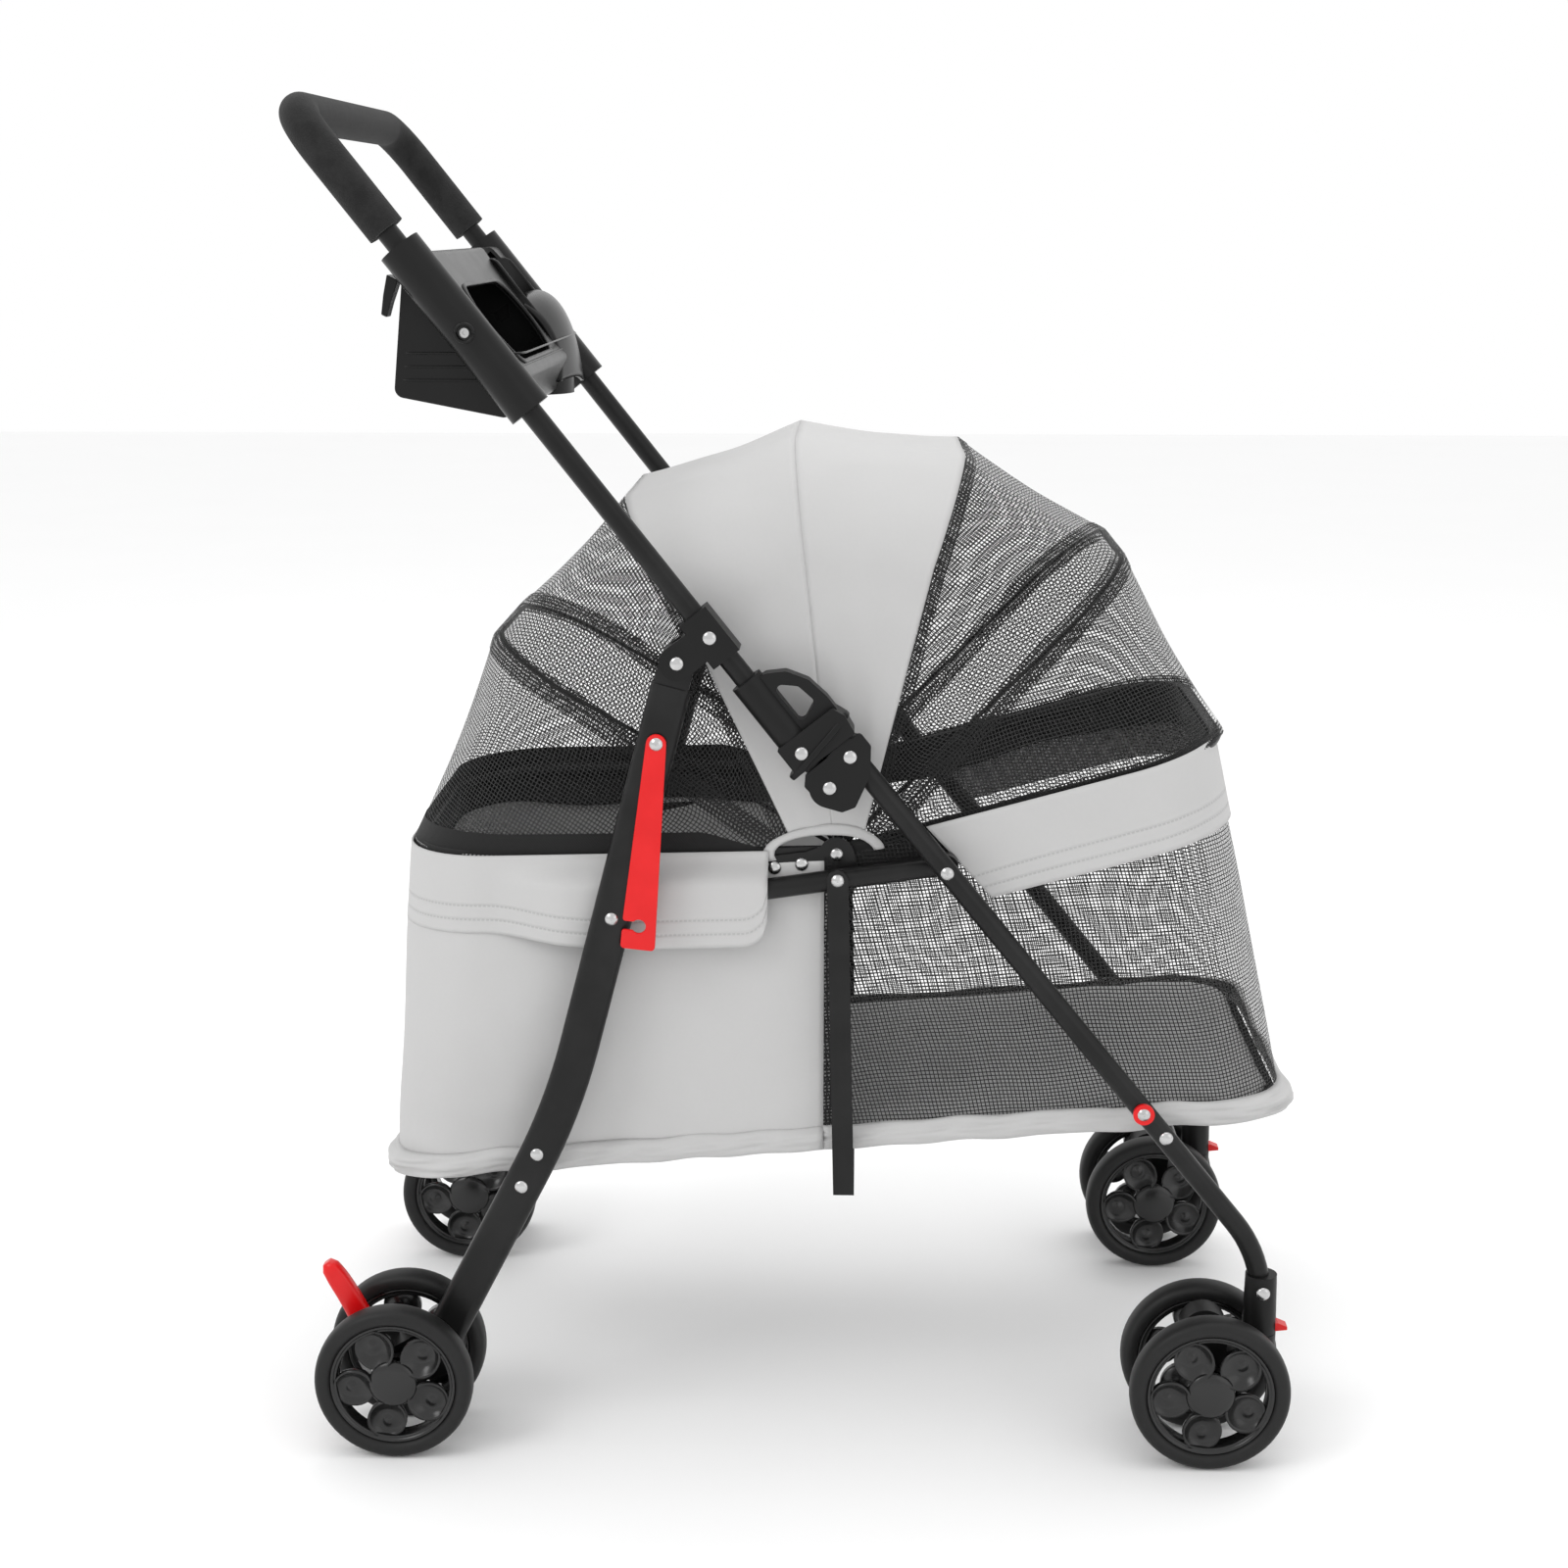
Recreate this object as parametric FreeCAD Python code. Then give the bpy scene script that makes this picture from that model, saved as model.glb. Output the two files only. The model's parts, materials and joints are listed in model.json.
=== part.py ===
"""Folding four-wheel pet stroller, in millimetres, +X forwards, +Y to its left, +Z up.

Side-view places are (x, z) pairs measured from the rear axle; put() moves every finished
node so that the origin is at the middle of the footprint, on the floor.
"""
import FreeCAD
import Part
import math
import os

# ---- driving dimensions -------------------------------------------------------------
track = 370.0                   # between the two leg planes
wheel_base = 623.5              # rear axle to front axle
wheel_radius = 61.0
wheel_width = 22.0
twin_spacing = 66.0             # between the two wheels of one pair
axle_radius = 4.0
caster_trail = 40.5

tube_radius = 8.0               # handle, front legs and side links
tube_wall = 1.2
eye_round = 9.0                 # flattened tube ends, round their rivets
eye_half = 7.5
leg_width = 30.0                # flat-oval rear legs
leg_depth = 15.0
leg_wall = 1.4
grip_radius = 14.0
hoop_radius = 5.0
hoop_wall = 1.0
wire_radius = 1.6               # canopy bows

hinge = (332.2, 525.4)          # where the handle folds on the front leg
handle_angle = 128.25
handle_length = 609.0           # hinge to the middle of the grip's crossbar
handle_corner = 34.0
grip_station = 505.0            # distances along the handle from the hinge
tray_station = (346.0, 491.0)
clamp_station = 140.6
pivot_offset = 30.4             # rear-leg pivot behind the handle's axis
sleeve_station = (21.0, 99.0)

leg_offset = 26.5               # front leg's axis ahead of the handle's axis
leg_angle = -51.0
link_on_leg = 113.8             # front-leg top to the side link's front pivot
catch_on_leg = 352.3            # front-leg top to the catch ring
front_bend = 100.0

rear_leg_lean = 14.7            # from vertical, above the bend
rear_foot_lean = 27.3           # from vertical, below the bend
rear_bend = 500.0
link_on_rear_leg = 200.2        # rear-leg pivot to the side link's rear pivot
latch_on_rear_leg = 62.0
latch_reach = 139.0

cabin_half_width = 158.0
cabin_rear = -8.0               # at the height of the rear axle's floor edge
cabin_front = 697.0
cabin_corner = 45.0
hoop_corner = 70.0
cloth = 3.0
floor_height = 204.0            # underside, above the rear axle
floor_slope = 0.085
floor_thickness = 16.0
hoop_reach = {"rear": 327.0, "front": 300.0}
hoop_angle = {"rear": 181.5, "front": 15.5}
bow_reach = 303.0
bow_angles = {
    "front_bow": 45.0,
    "front_rib": 72.0,
    "ridge_bow": 96.3,
    "rear_rib": 122.0,
    "rear_bow": 150.0,
}

strap_width = 16.0
strap_depth = 2.0
strap_bottom = 200.0
strap_station = 344.0
cross_tube_radius = 6.0
rear_cross = (85.0, 182.0)
front_cross = (596.0, 236.0)

running = 0.06                  # radial clearance of pins in their holes
gap = 0.5                       # free space between neighbours that move
pin_radius = 3.0
head_radius = 4.8
head_height = 2.2
latch_gap = 0.8                 # from the leg's face, clear of the front leg's tube

half_track = track / 2
wide = 400.0                    # further than any part reaches sideways
axle_rear = (0.0, wheel_radius)
axle_front = (wheel_base, wheel_radius)
swivel_x = wheel_base + caster_trail
tab_tip = swivel_x + 21.0
centre_x = (tab_tip - wheel_radius) / 2
sides = {"right": -1, "left": 1}


# ---- helpers ------------------------------------------------------------------------
def vec(x, y, z):
    return FreeCAD.Vector(x, y, z)


def put(node, *shapes):
    """Write one node, moved so that the footprint's middle is the origin."""
    shape = shapes[0] if len(shapes) == 1 else Part.makeCompound(list(shapes))
    shape = shape.copy()
    shape.translate(vec(-centre_x, 0, 0))
    shape.exportStep("parts/" + node + ".step")


def fuse(first, *others):
    return first.fuse(list(others)).removeSplitter()


def step(start, angle, along, aside=0.0):
    """The point that lies along a direction (degrees) from start, and aside to its right."""
    c = math.cos(math.radians(angle))
    s = math.sin(math.radians(angle))
    return (start[0] + along * c + aside * s, start[1] + along * s - aside * c)


def disc(point, radius, y_low, y_high):
    return Part.makeCylinder(radius, y_high - y_low, vec(point[0], y_low, point[1]), vec(0, 1, 0))


def upright(x, y, radius, z_low, z_high):
    return Part.makeCylinder(radius, z_high - z_low, vec(x, y, z_low))


def plate(points, y_low, y_high):
    """A polygon in the side view, given a thickness along Y."""
    wire = Part.makePolygon([vec(x, y_low, z) for x, z in list(points) + [points[0]]])
    return Part.Face(wire).extrude(vec(0, y_high - y_low, 0))


def strip(first, second, radius, y_low, y_high, second_radius=None):
    """A plate with round ends at two points, straight between them."""
    last = radius if second_radius is None else second_radius
    run = math.hypot(second[0] - first[0], second[1] - first[1])
    angle = math.degrees(math.atan2(second[1] - first[1], second[0] - first[0]))
    lean = math.degrees(math.acos((radius - last) / run))
    corners = [
        step(first, angle + lean, radius),
        step(second, angle + lean, last),
        step(second, angle - lean, last),
        step(first, angle - lean, radius),
    ]
    web = plate(corners, y_low, y_high)
    return fuse(web, disc(first, radius, y_low, y_high), disc(second, last, y_low, y_high))


def rounded_path(points, radii):
    """Straight runs joined by tangent arcs, one radius for each inner point."""
    edges = []
    start = points[0]
    for before, corner, after, radius in zip(points, points[1:], points[2:], radii):
        back = (before - corner).normalize()
        ahead = (after - corner).normalize()
        half = back.getAngle(ahead) / 2
        reach = radius / math.tan(half)
        to_centre = (back + ahead).normalize()
        middle = corner + to_centre * (radius / math.sin(half) - radius)
        first = corner + back * reach
        last = corner + ahead * reach
        edges.append(Part.LineSegment(start, first).toShape())
        edges.append(Part.Arc(first, middle, last).toShape())
        start = last
    edges.append(Part.LineSegment(start, points[-1]).toShape())
    return Part.Wire(edges)


def rod(path, radius):
    """A round bar along a path."""
    start = path.Edges[0]
    ahead = start.tangentAt(start.FirstParameter)
    ring = Part.Circle(start.valueAt(start.FirstParameter), ahead, radius)
    return path.makePipeShell([Part.Wire(ring.toShape())], True, False)


def tube(path, radius, wall):
    return rod(path, radius).cut(rod(path, radius - wall))


def cross_tube(point, half_length):
    outer = disc(point, cross_tube_radius, -half_length, half_length)
    return outer.cut(disc(point, cross_tube_radius - tube_wall, -half_length, half_length))


def side_points(points, y):
    return [vec(x, y, z) for x, z in points]


def rivet(point, y_face, outwards, depth):
    """A shank through depth of material, with a domed head on the face at y_face."""
    x, z = point
    dome_radius = (head_radius ** 2 + head_height ** 2) / (2 * head_height)
    half_way = head_radius * 0.6
    drop = dome_radius - math.sqrt(dome_radius ** 2 - half_way ** 2)
    root = vec(x, y_face - outwards * depth, z)
    shank = vec(x + pin_radius, y_face - outwards * depth, z)
    neck = vec(x + pin_radius, y_face, z)
    brim = vec(x + head_radius, y_face, z)
    dome = vec(x + half_way, y_face + outwards * (head_height - drop), z)
    crown = vec(x, y_face + outwards * head_height, z)
    edges = [
        Part.LineSegment(root, shank).toShape(),
        Part.LineSegment(shank, neck).toShape(),
        Part.LineSegment(neck, brim).toShape(),
        Part.Arc(brim, dome, crown).toShape(),
        Part.LineSegment(crown, root).toShape(),
    ]
    return Part.Face(Part.Wire(edges)).revolve(root, vec(0, 1, 0), 360)


def rounded_plan(x_low, x_high, half_width, corner, z):
    """A rounded rectangle seen from above, as a closed wire at height z."""
    edges = []
    turn = corner * (1 - math.sqrt(0.5))
    marks = []
    for sx, sy in ((1, 1), (-1, 1), (-1, -1), (1, -1)):
        x = x_high if sx > 0 else x_low
        along_x = vec(x - sx * corner, sy * half_width, z)
        along_y = vec(x, sy * (half_width - corner), z)
        mid = vec(x - sx * turn, sy * (half_width - turn), z)
        first, last = (along_y, along_x) if sx * sy > 0 else (along_x, along_y)
        marks.append((first, mid, last))
    for here, following in zip(marks, marks[1:] + marks[:1]):
        edges.append(Part.Arc(*here).toShape())
        edges.append(Part.LineSegment(here[2], following[0]).toShape())
    return Part.Wire(edges)


# ---- places that follow from the dimensions -----------------------------------------
def on_handle(along, aside=0.0):
    return step(hinge, handle_angle, along, aside)


leg_top = on_handle(9.0, leg_offset)
rear_pivot = on_handle(clamp_station, -pivot_offset)
link_rear = step(rear_pivot, 270 - rear_leg_lean, link_on_rear_leg)
link_front = step(leg_top, leg_angle, link_on_leg)
catch = step(leg_top, leg_angle, catch_on_leg)
latch_pivot = step(rear_pivot, 270 - rear_leg_lean, latch_on_rear_leg)
hub = (337.3, 465.4)
strap_pivot = (338.2, 449.8)
leg_end = (29.5, 75.0)
link_plane = half_track - 18.5
hoop_plane = cabin_half_width - cloth - gap - hoop_radius


def floor_at(x):
    return floor_height + floor_slope * x


def crossing(first, first_angle, second, second_angle):
    """Where two lines in the side view meet."""
    c1, s1 = math.cos(math.radians(first_angle)), math.sin(math.radians(first_angle))
    c2, s2 = math.cos(math.radians(second_angle)), math.sin(math.radians(second_angle))
    run = ((second[0] - first[0]) * s2 - (second[1] - first[1]) * c2) / (c1 * s2 - s1 * c2)
    return (first[0] + run * c1, first[1] + run * s1)


# ---- rear frame ---------------------------------------------------------------------
pivot_tongue = 6.0              # half thickness of the leg's top, inside the clamp
leg_knee = crossing(rear_pivot, 270 - rear_leg_lean, leg_end, 90 - rear_foot_lean)
tongue_reach = 19.0
plug_length = 16.0              # solid part below the tongue


def flat_oval(start, angle, y, inset=0.0):
    """The rear leg's section, square to a direction in the side view."""
    flat = (leg_width - leg_depth) / 2
    half_depth = leg_depth / 2 - inset
    marks = []
    for side in (1, -1):
        a = step(start, angle, 0, side * flat)
        b = step(start, angle, 0, side * (leg_width / 2 - inset))
        marks.append((vec(a[0], y + side * half_depth, a[1]), vec(b[0], y, b[1]),
                      vec(a[0], y - side * half_depth, a[1])))
    first, second = marks
    edges = [Part.Arc(*first).toShape(), Part.LineSegment(first[2], second[0]).toShape(),
             Part.Arc(*second).toShape(), Part.LineSegment(second[2], first[0]).toShape()]
    return Part.Wire(edges)


def leg_sweep(y, reach, inset=0.0):
    """The rear leg's section swept from reach below the pivot to the foot."""
    down = 270 - rear_leg_lean
    start = step(rear_pivot, down, reach)
    path = rounded_path(side_points([start, leg_knee, leg_end], y), [rear_bend])
    return path.makePipeShell([flat_oval(start, down, y, inset)], True, False)


def rear_leg(y):
    start = step(rear_pivot, 270 - rear_leg_lean, tongue_reach)
    tongue = strip(rear_pivot, start, pivot_width, y - pivot_tongue, y + pivot_tongue)
    pin_hole = disc(rear_pivot, pin_radius + running, y - leg_depth, y + leg_depth)
    hollow = leg_sweep(y, tongue_reach + plug_length, leg_wall)
    return fuse(leg_sweep(y, tongue_reach), tongue).cut(hollow).cut(pin_hole)


pivot_width = 13.0
foot_radius = 17.0
foot_half = 12.5
boss_radius = 13.0
boss_half = (twin_spacing - wheel_width) / 2 - 1.0
pedal_pivot = (-25.0, 82.0)
pedal_half = 6.5
pedal_tip = (-50.5, 141.0)
pedal_eye = 8.0


def rear_foot(y):
    """Casting that takes the leg's end, the axle and the brake pedal's pin."""
    body = strip(axle_rear, leg_end, foot_radius, y - foot_half, y + foot_half, foot_radius + 3)
    boss = disc(axle_rear, boss_radius, y - boss_half, y + boss_half)
    cheeks = strip(axle_rear, pedal_pivot, boss_radius, y - foot_half, y + foot_half, pedal_eye)
    room_half = pedal_half + gap
    mouth = strip(pedal_pivot, step(pedal_pivot, 120, 40), pedal_eye + gap, y - room_half, y + room_half)
    pedal_room = disc(pedal_pivot, pedal_eye + gap, y - room_half, y + room_half)
    pedal_pin = disc(pedal_pivot, pin_radius, y - foot_half, y + foot_half)
    shape = fuse(body, boss, cheeks).cut(mouth).cut(pedal_room)
    shape = fuse(shape, pedal_pin)
    leg_room = leg_sweep(y, tongue_reach)
    return shape.cut(leg_room).cut(disc(axle_rear, axle_radius, y - boss_half, y + boss_half))


def brake_pedal(y):
    """A curved lever with a broad toe, turning on a pin in the foot."""
    bend = (-33.0, 108.0)
    path = rounded_path(side_points([pedal_pivot, bend, pedal_tip], y), [40.0])
    thick = 9.0
    section = Part.makePolygon([
        vec(pedal_pivot[0] + dx, y + dy, pedal_pivot[1])
        for dx, dy in ((-thick / 2, -pedal_half), (thick / 2, -pedal_half), (thick / 2, pedal_half),
                       (-thick / 2, pedal_half), (-thick / 2, -pedal_half))
    ])
    lever = path.makePipeShell([section], True, False)
    toe = disc(pedal_tip, 6.5, y - pedal_half, y + pedal_half)
    eye = disc(pedal_pivot, pedal_eye, y - pedal_half, y + pedal_half)
    hole = disc(pedal_pivot, pin_radius + running, y - pedal_half, y + pedal_half)
    return fuse(lever, toe, eye).cut(hole)


latch_depth = 2.5


def fold_latch(y_face):
    """Flat hook that hangs on the right rear leg and holds the folded frame."""
    y_low = y_face - latch_depth
    hang = 264.0
    foot = step(latch_pivot, hang, latch_reach + 18)
    top = [step(latch_pivot, hang, 0, side * 7.5) for side in (1, -1)]
    bottom = [step(foot, hang, 0, side * 14.0) for side in (-1, 1)]
    body = fuse(plate(top + bottom, y_low, y_face), disc(latch_pivot, 8.0, y_low, y_face))
    mouth_end = step(latch_pivot, hang, latch_reach)
    mouth = step(mouth_end, hang + 90 + 180, 20)
    notch = strip(mouth_end, mouth, pin_radius + gap, y_low, y_face)
    hole = disc(latch_pivot, pin_radius + running, y_low, y_face)
    return body.cut(notch).cut(hole)


# ---- handle -------------------------------------------------------------------------
clamp_half_length = 20.0
clamp_half = 12.0
clamp_cheek = 4.0


def handle_path(start):
    lower = on_handle(start)
    upper = on_handle(handle_length)
    points = [vec(lower[0], -half_track, lower[1]), vec(upper[0], -half_track, upper[1]),
              vec(upper[0], half_track, upper[1]), vec(lower[0], half_track, lower[1])]
    return rounded_path(points, [handle_corner, handle_corner])


def handle_tube():
    shape = tube(handle_path(tube_radius * 0.7), tube_radius, tube_wall)
    for side in sides.values():
        y = side * half_track
        shape = fuse(shape, disc(hinge, eye_round, y - eye_half, y + eye_half))
        shape = shape.cut(disc(hinge, pin_radius + running, y - 2 * tube_radius, y + 2 * tube_radius))
    return shape


def handle_grip():
    path = handle_path(grip_station)
    return rod(path, grip_radius).cut(rod(path, tube_radius))


def pivot_clamp(y):
    """Block on the handle with two cheeks that hold the rear leg's top."""
    low = on_handle(clamp_station - clamp_half_length)
    high = on_handle(clamp_station + clamp_half_length)
    corners = [step(low, handle_angle, 0, 12), step(high, handle_angle, 0, 12),
               step(high, handle_angle, 0, -12), step(low, handle_angle, 0, -12)]
    block = plate(corners, y - clamp_half, y + clamp_half)
    lobe = strip(on_handle(clamp_station), rear_pivot, 12.0, y - clamp_half, y + clamp_half, 13.0)
    room = disc(rear_pivot, tongue_reach - gap, y - pivot_tongue - gap, y + pivot_tongue + gap)
    leg_room = disc(rear_pivot, pivot_width + gap, y - pivot_tongue - gap, y + pivot_tongue + gap)
    shape = fuse(block, lobe).cut(room.fuse(leg_room))
    pin = disc(rear_pivot, pin_radius, y - clamp_half, y + clamp_half)
    bore_low = on_handle(clamp_station - 2 * clamp_half_length)
    u = step((0, 0), handle_angle, 1)
    bore = Part.makeCylinder(tube_radius, 4 * clamp_half_length, vec(bore_low[0], y, bore_low[1]),
                             vec(u[0], 0, u[1]))
    return fuse(shape, pin).cut(bore)


tray_sleeve = 16.0
tray_wall = 2.5
tray_round = 7.0
tray_half = half_track - tray_sleeve + 1.0
tray_rim = 11.0                 # deck's height above the handle's axis
tray_rear = 18.0
tray_front = 101.0
tray_floor = (806.0, 790.0)     # rear, front
bin_end = 60.0                  # the bin reaches from the right sleeve to here
slot_stations = (378.0, 446.0)
slot_ends = (-128.0, 12.0)
cup_radius = 37.0
cup_wall = 3.5
cup_centre = (74.0, 112.0)      # x, y
cup_floor = 794.0
cup_top = 897.0


def sloped_bar(y, radius, stations):
    low = on_handle(stations[0])
    u = step((0, 0), handle_angle, 1)
    return Part.makeCylinder(radius, stations[1] - stations[0], vec(low[0], y, low[1]), vec(u[0], 0, u[1]))


def tray_outline(inset, below):
    """Side view of the tray's body, inset from its walls; its floor drops by below."""
    deck = tray_rim - inset
    rear = tray_rear + inset
    front = tray_front - inset
    top_rear = crossing(on_handle(0, deck), handle_angle, (rear + 24, 0), 90)
    top_front = crossing(on_handle(0, deck), handle_angle, (front + 12, 0), 90)
    return [(rear, tray_floor[0] + inset - below), (front, tray_floor[1] + inset - below),
            (top_front[0], top_front[1]), top_rear, (rear + 9, top_rear[1] - 16)]


def eased(body, radius):
    """Rounds every edge of a plate that runs along Y."""
    edges = [edge for edge in body.Edges if abs(edge.tangentAt(0).y) > 0.99]
    return body.makeFillet(radius, edges)


def bin_slot():
    """Long round-ended opening, square to the sloping deck."""
    middle = on_handle(sum(slot_stations) / 2, 0)
    radius = (slot_stations[1] - slot_stations[0]) / 2
    outwards = step((0, 0), handle_angle, 0, 1)
    depth = 2 * tray_rim
    square = vec(outwards[0], 0, outwards[1])
    ends = [Part.makeCylinder(radius, depth, vec(middle[0], y, middle[1]), square) for y in slot_ends]
    low, high = [on_handle(station, 0) for station in slot_stations]
    raised = [step(place, handle_angle, 0, depth) for place in (high, low)]
    web = plate([low, high] + raised, *slot_ends)
    return fuse(web, *ends)


def cup_tray():
    """Storage bin and cup well between two sleeves on the handle."""
    body = eased(plate(tray_outline(0, 0), -tray_half, tray_half), tray_round)
    pocket = plate(tray_outline(tray_wall, 0), -tray_half + tray_wall, bin_end - tray_wall)
    pocket = eased(pocket, tray_round - tray_wall)
    cup_room = plate(tray_outline(tray_wall, 2 * tray_wall), bin_end + tray_wall, tray_half - tray_wall)
    lip = tray_rim + 3
    corners = [on_handle(0, lip), on_handle(900, lip), on_handle(900, 300), on_handle(0, 300)]
    above = plate(corners, -wide, wide)
    cup = upright(*cup_centre, cup_radius + cup_wall, tray_floor[1], cup_top).cut(above)
    well = upright(*cup_centre, cup_radius, cup_floor, 1000)
    shape = fuse(body.cut(pocket).cut(bin_slot()).cut(cup_room), cup).cut(well)
    bars = [sloped_bar(side * half_track, tray_sleeve, tray_station) for side in sides.values()]
    shape = fuse(shape, *bars)
    for side in sides.values():
        y = side * half_track
        shape = shape.cut(sloped_bar(y, tube_radius, (tray_station[0] - 30, tray_station[1] + 30)))
        shape = shape.cut(disc(tray_screw_place, screw_radius, y - 2 * tray_sleeve, y + 2 * tray_sleeve))
    return shape


screw_radius = 3.5
tray_screw_place = on_handle(416.0)


def tray_screw(side):
    """A socket screw through the tray's sleeve, up to the handle tube."""
    y = side * half_track
    y_face = y + side * (tray_sleeve - 2)
    low = min(y_face, y + side * tube_radius)
    body = disc(tray_screw_place, screw_radius, low, low + tray_sleeve - 2 - tube_radius)
    socket = disc(tray_screw_place, 1.6, y_face - 2, y_face + 2)
    return body.cut(socket)


# ---- front frame --------------------------------------------------------------------
leg_bottom = 114.0
socket_top = 144.0
seam = 97.0
socket_radius = 13.0
cheek_depth = 3.0
bracket_half = tube_radius + gap + cheek_depth
bracket_outline = [             # along the handle and aside from it
    (18.5, -8), (12, -14), (-9, -12), (-20, -4), (-23, 6), (-11, 29), (6, 43), (19.5, 43),
]
leg_top_run = 11.0              # how far the leg's tube goes past its top rivet


def front_leg_path(y):
    top = step(leg_top, leg_angle, -leg_top_run)
    knee = crossing(leg_top, leg_angle, (swivel_x, 0), 90)
    return rounded_path(side_points([top, knee, (swivel_x, leg_bottom)], y), [front_bend])


def front_leg(y):
    return tube(front_leg_path(y), tube_radius, tube_wall)


def leg_solid(y):
    top = step(leg_top, leg_angle, -leg_top_run)
    low = step(leg_top, leg_angle, 3 * leg_top_run)
    return rod(Part.Wire([Part.LineSegment(*side_points([top, low], y)).toShape()]), tube_radius)


def outer_slab(y, half, depth):
    """The low and high Y of a slab just under the outer face of a part centred on y."""
    outer = y + math.copysign(half, y)
    inner = y + math.copysign(half - depth, y)
    return min(outer, inner), max(outer, inner)


def lock_bracket(y):
    """Cheeks around the handle's hinge, a broad outer plate and a block on the front leg's top."""
    cheeks = strip(hinge, leg_top, 15.0, y - bracket_half, y + bracket_half, 13.5)
    face = plate([on_handle(*place) for place in bracket_outline], *outer_slab(y, bracket_half, cheek_depth))
    cheeks = fuse(cheeks, eased(face, cheek_depth))
    slot = disc(hinge, leg_offset - 13.0, y - tube_radius - gap, y + tube_radius + gap)
    swept = plate([step(hinge, handle_angle, 40, 12), step(hinge, handle_angle, 40, -40),
                   step(hinge, handle_angle, -40, -40), step(hinge, handle_angle, -40, 12)],
                  y - tube_radius - gap, y + tube_radius + gap)
    pin = disc(hinge, pin_radius, y - bracket_half, y + bracket_half)
    stop = sleeve_station[0] - gap
    spare = 60.0
    above = plate([on_handle(stop, -spare), on_handle(stop + spare, -spare), on_handle(stop + spare, spare),
                   on_handle(stop, spare)], y - bracket_half, y + bracket_half)
    return fuse(cheeks.cut(slot).cut(swept), pin).cut(leg_solid(y)).cut(above)


def leg_socket(y):
    """Plastic socket that joins the front leg to its caster."""
    body = Part.makeCone(socket_radius, 12.0, socket_top - seam, vec(swivel_x, y, seam))
    stem_room = upright(swivel_x, y, stem_radius + running, seam, stem_top + gap)
    leg_room = rod(front_leg_path(y), tube_radius)
    tab_room = Part.makeBox(tab_tip - tab_rear + gap, 2 * (tab_half + running), tab_height + tab_travel,
                            vec(tab_rear - running, y - tab_half - running, seam))
    return body.cut(stem_room).cut(leg_room).cut(tab_room)


stem_radius = 5.0
stem_top = 110.0
tab_rear = swivel_x + 8.0
tab_half = 5.0
tab_height = 7.0
tab_travel = 5.0                # room above the swivel lock's tab


def swivel_lock(y):
    low = seam + 1.0
    outline = [(tab_rear, low), (tab_tip, low + 1.5), (tab_tip, low + 4.0), (tab_tip - 7, low + tab_height),
               (tab_rear, low + tab_height)]
    return plate(outline, y - tab_half, y + tab_half)


def caster_fork(y):
    """Swivelling arm between the front wheels, with its stem in the leg socket."""
    top = seam - gap
    drum = upright(swivel_x, y, socket_radius, seam - 19, top)
    arm = strip((swivel_x, seam - 12), axle_front, 9.0, y - 10, y + 10, boss_radius)
    knob = strip((axle_front[0] - 2, seam + 2), axle_front, 18.0, y - 10, y + 10, boss_radius)
    boss = disc(axle_front, boss_radius, y - boss_half, y + boss_half)
    stem = upright(swivel_x, y, stem_radius, seam - 12, stem_top)
    spare = Part.makeBox(80, 40, 60, vec(swivel_x - 17, y - 20, top))
    shape = fuse(drum, arm, knob, boss).cut(spare)
    return fuse(shape, stem).cut(disc(axle_front, axle_radius, y - boss_half, y + boss_half))


sleeve_half = 13.0
loop_half = 7.0
sleeve_block = [(21, -13), (46, -13), (46, 38), (36, 42), (21, 40)]     # along and aside, as above
sleeve_loop = [(38, 0), (96, 0), (95, 15), (87, 28), (72, 37), (54, 40), (38, 40)]
finger_hole = [(49, 13), (87, 13), (73, 28), (57, 31)]


def lock_sleeve(y):
    """Sliding sleeve with a finger loop, over the fold joint."""
    low, high = sleeve_station
    barrel = sloped_bar(y, 12.5, (low, high))
    block = plate([on_handle(*place) for place in sleeve_block], y - sleeve_half, y + sleeve_half)
    loop = plate([on_handle(*place) for place in sleeve_loop], y - loop_half, y + loop_half)
    finger = plate([on_handle(*place) for place in finger_hole], y - sleeve_half, y + sleeve_half)
    body = fuse(barrel, eased(block, 2.0), eased(loop, 6.0)).cut(eased(finger, 4.0))
    return body.cut(sloped_bar(y, tube_radius + running, (low - 30, high + 30)))


# ---- seat frame ---------------------------------------------------------------------
hub_plate_depth = 2.4
hub_plane = link_plane - tube_radius - 0.1
eye_depth = 3.0
eye_radius = 6.0
tongue_length = 60.0
bow_pitch = eye_depth + 0.5
bow_corner = 75.0


def side_link(y):
    """Straight tube with flat round ends, from the rear leg to the front leg."""
    path = Part.Wire([Part.LineSegment(*side_points([link_rear, link_front], y)).toShape()])
    shape = tube(path, tube_radius, tube_wall)
    for point in (link_rear, link_front):
        eye = disc(point, eye_round, y - eye_half, y + eye_half)
        hole = disc(point, pin_radius + running, y - 2 * tube_radius, y + 2 * tube_radius)
        shape = fuse(shape, eye).cut(hole)
    return shape


def hub_plate(side):
    """Scalloped plate on the link's inner face that carries the hoops and the bows."""
    outer = side * hub_plane
    y_low = min(outer, outer - side * hub_plate_depth)
    y_high = y_low + hub_plate_depth
    front = strip(hub, (hub[0] + 4, hub[1] - 18), 13.0, y_low, y_high)
    rear = strip((hub[0] - 26, hub[1] - 8), (hub[0] - 47, hub[1] - 11), 9.5, y_low, y_high)
    web = strip(hub, (hub[0] - 26, hub[1] - 10), 10.0, y_low, y_high)
    pin_end = hub_plane - hub_plate_depth - (len(bow_angles) + 2) * bow_pitch
    pin = disc(hub, pin_radius, min(outer, side * pin_end), max(outer, side * pin_end))
    return fuse(front, rear, web, pin)


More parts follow.
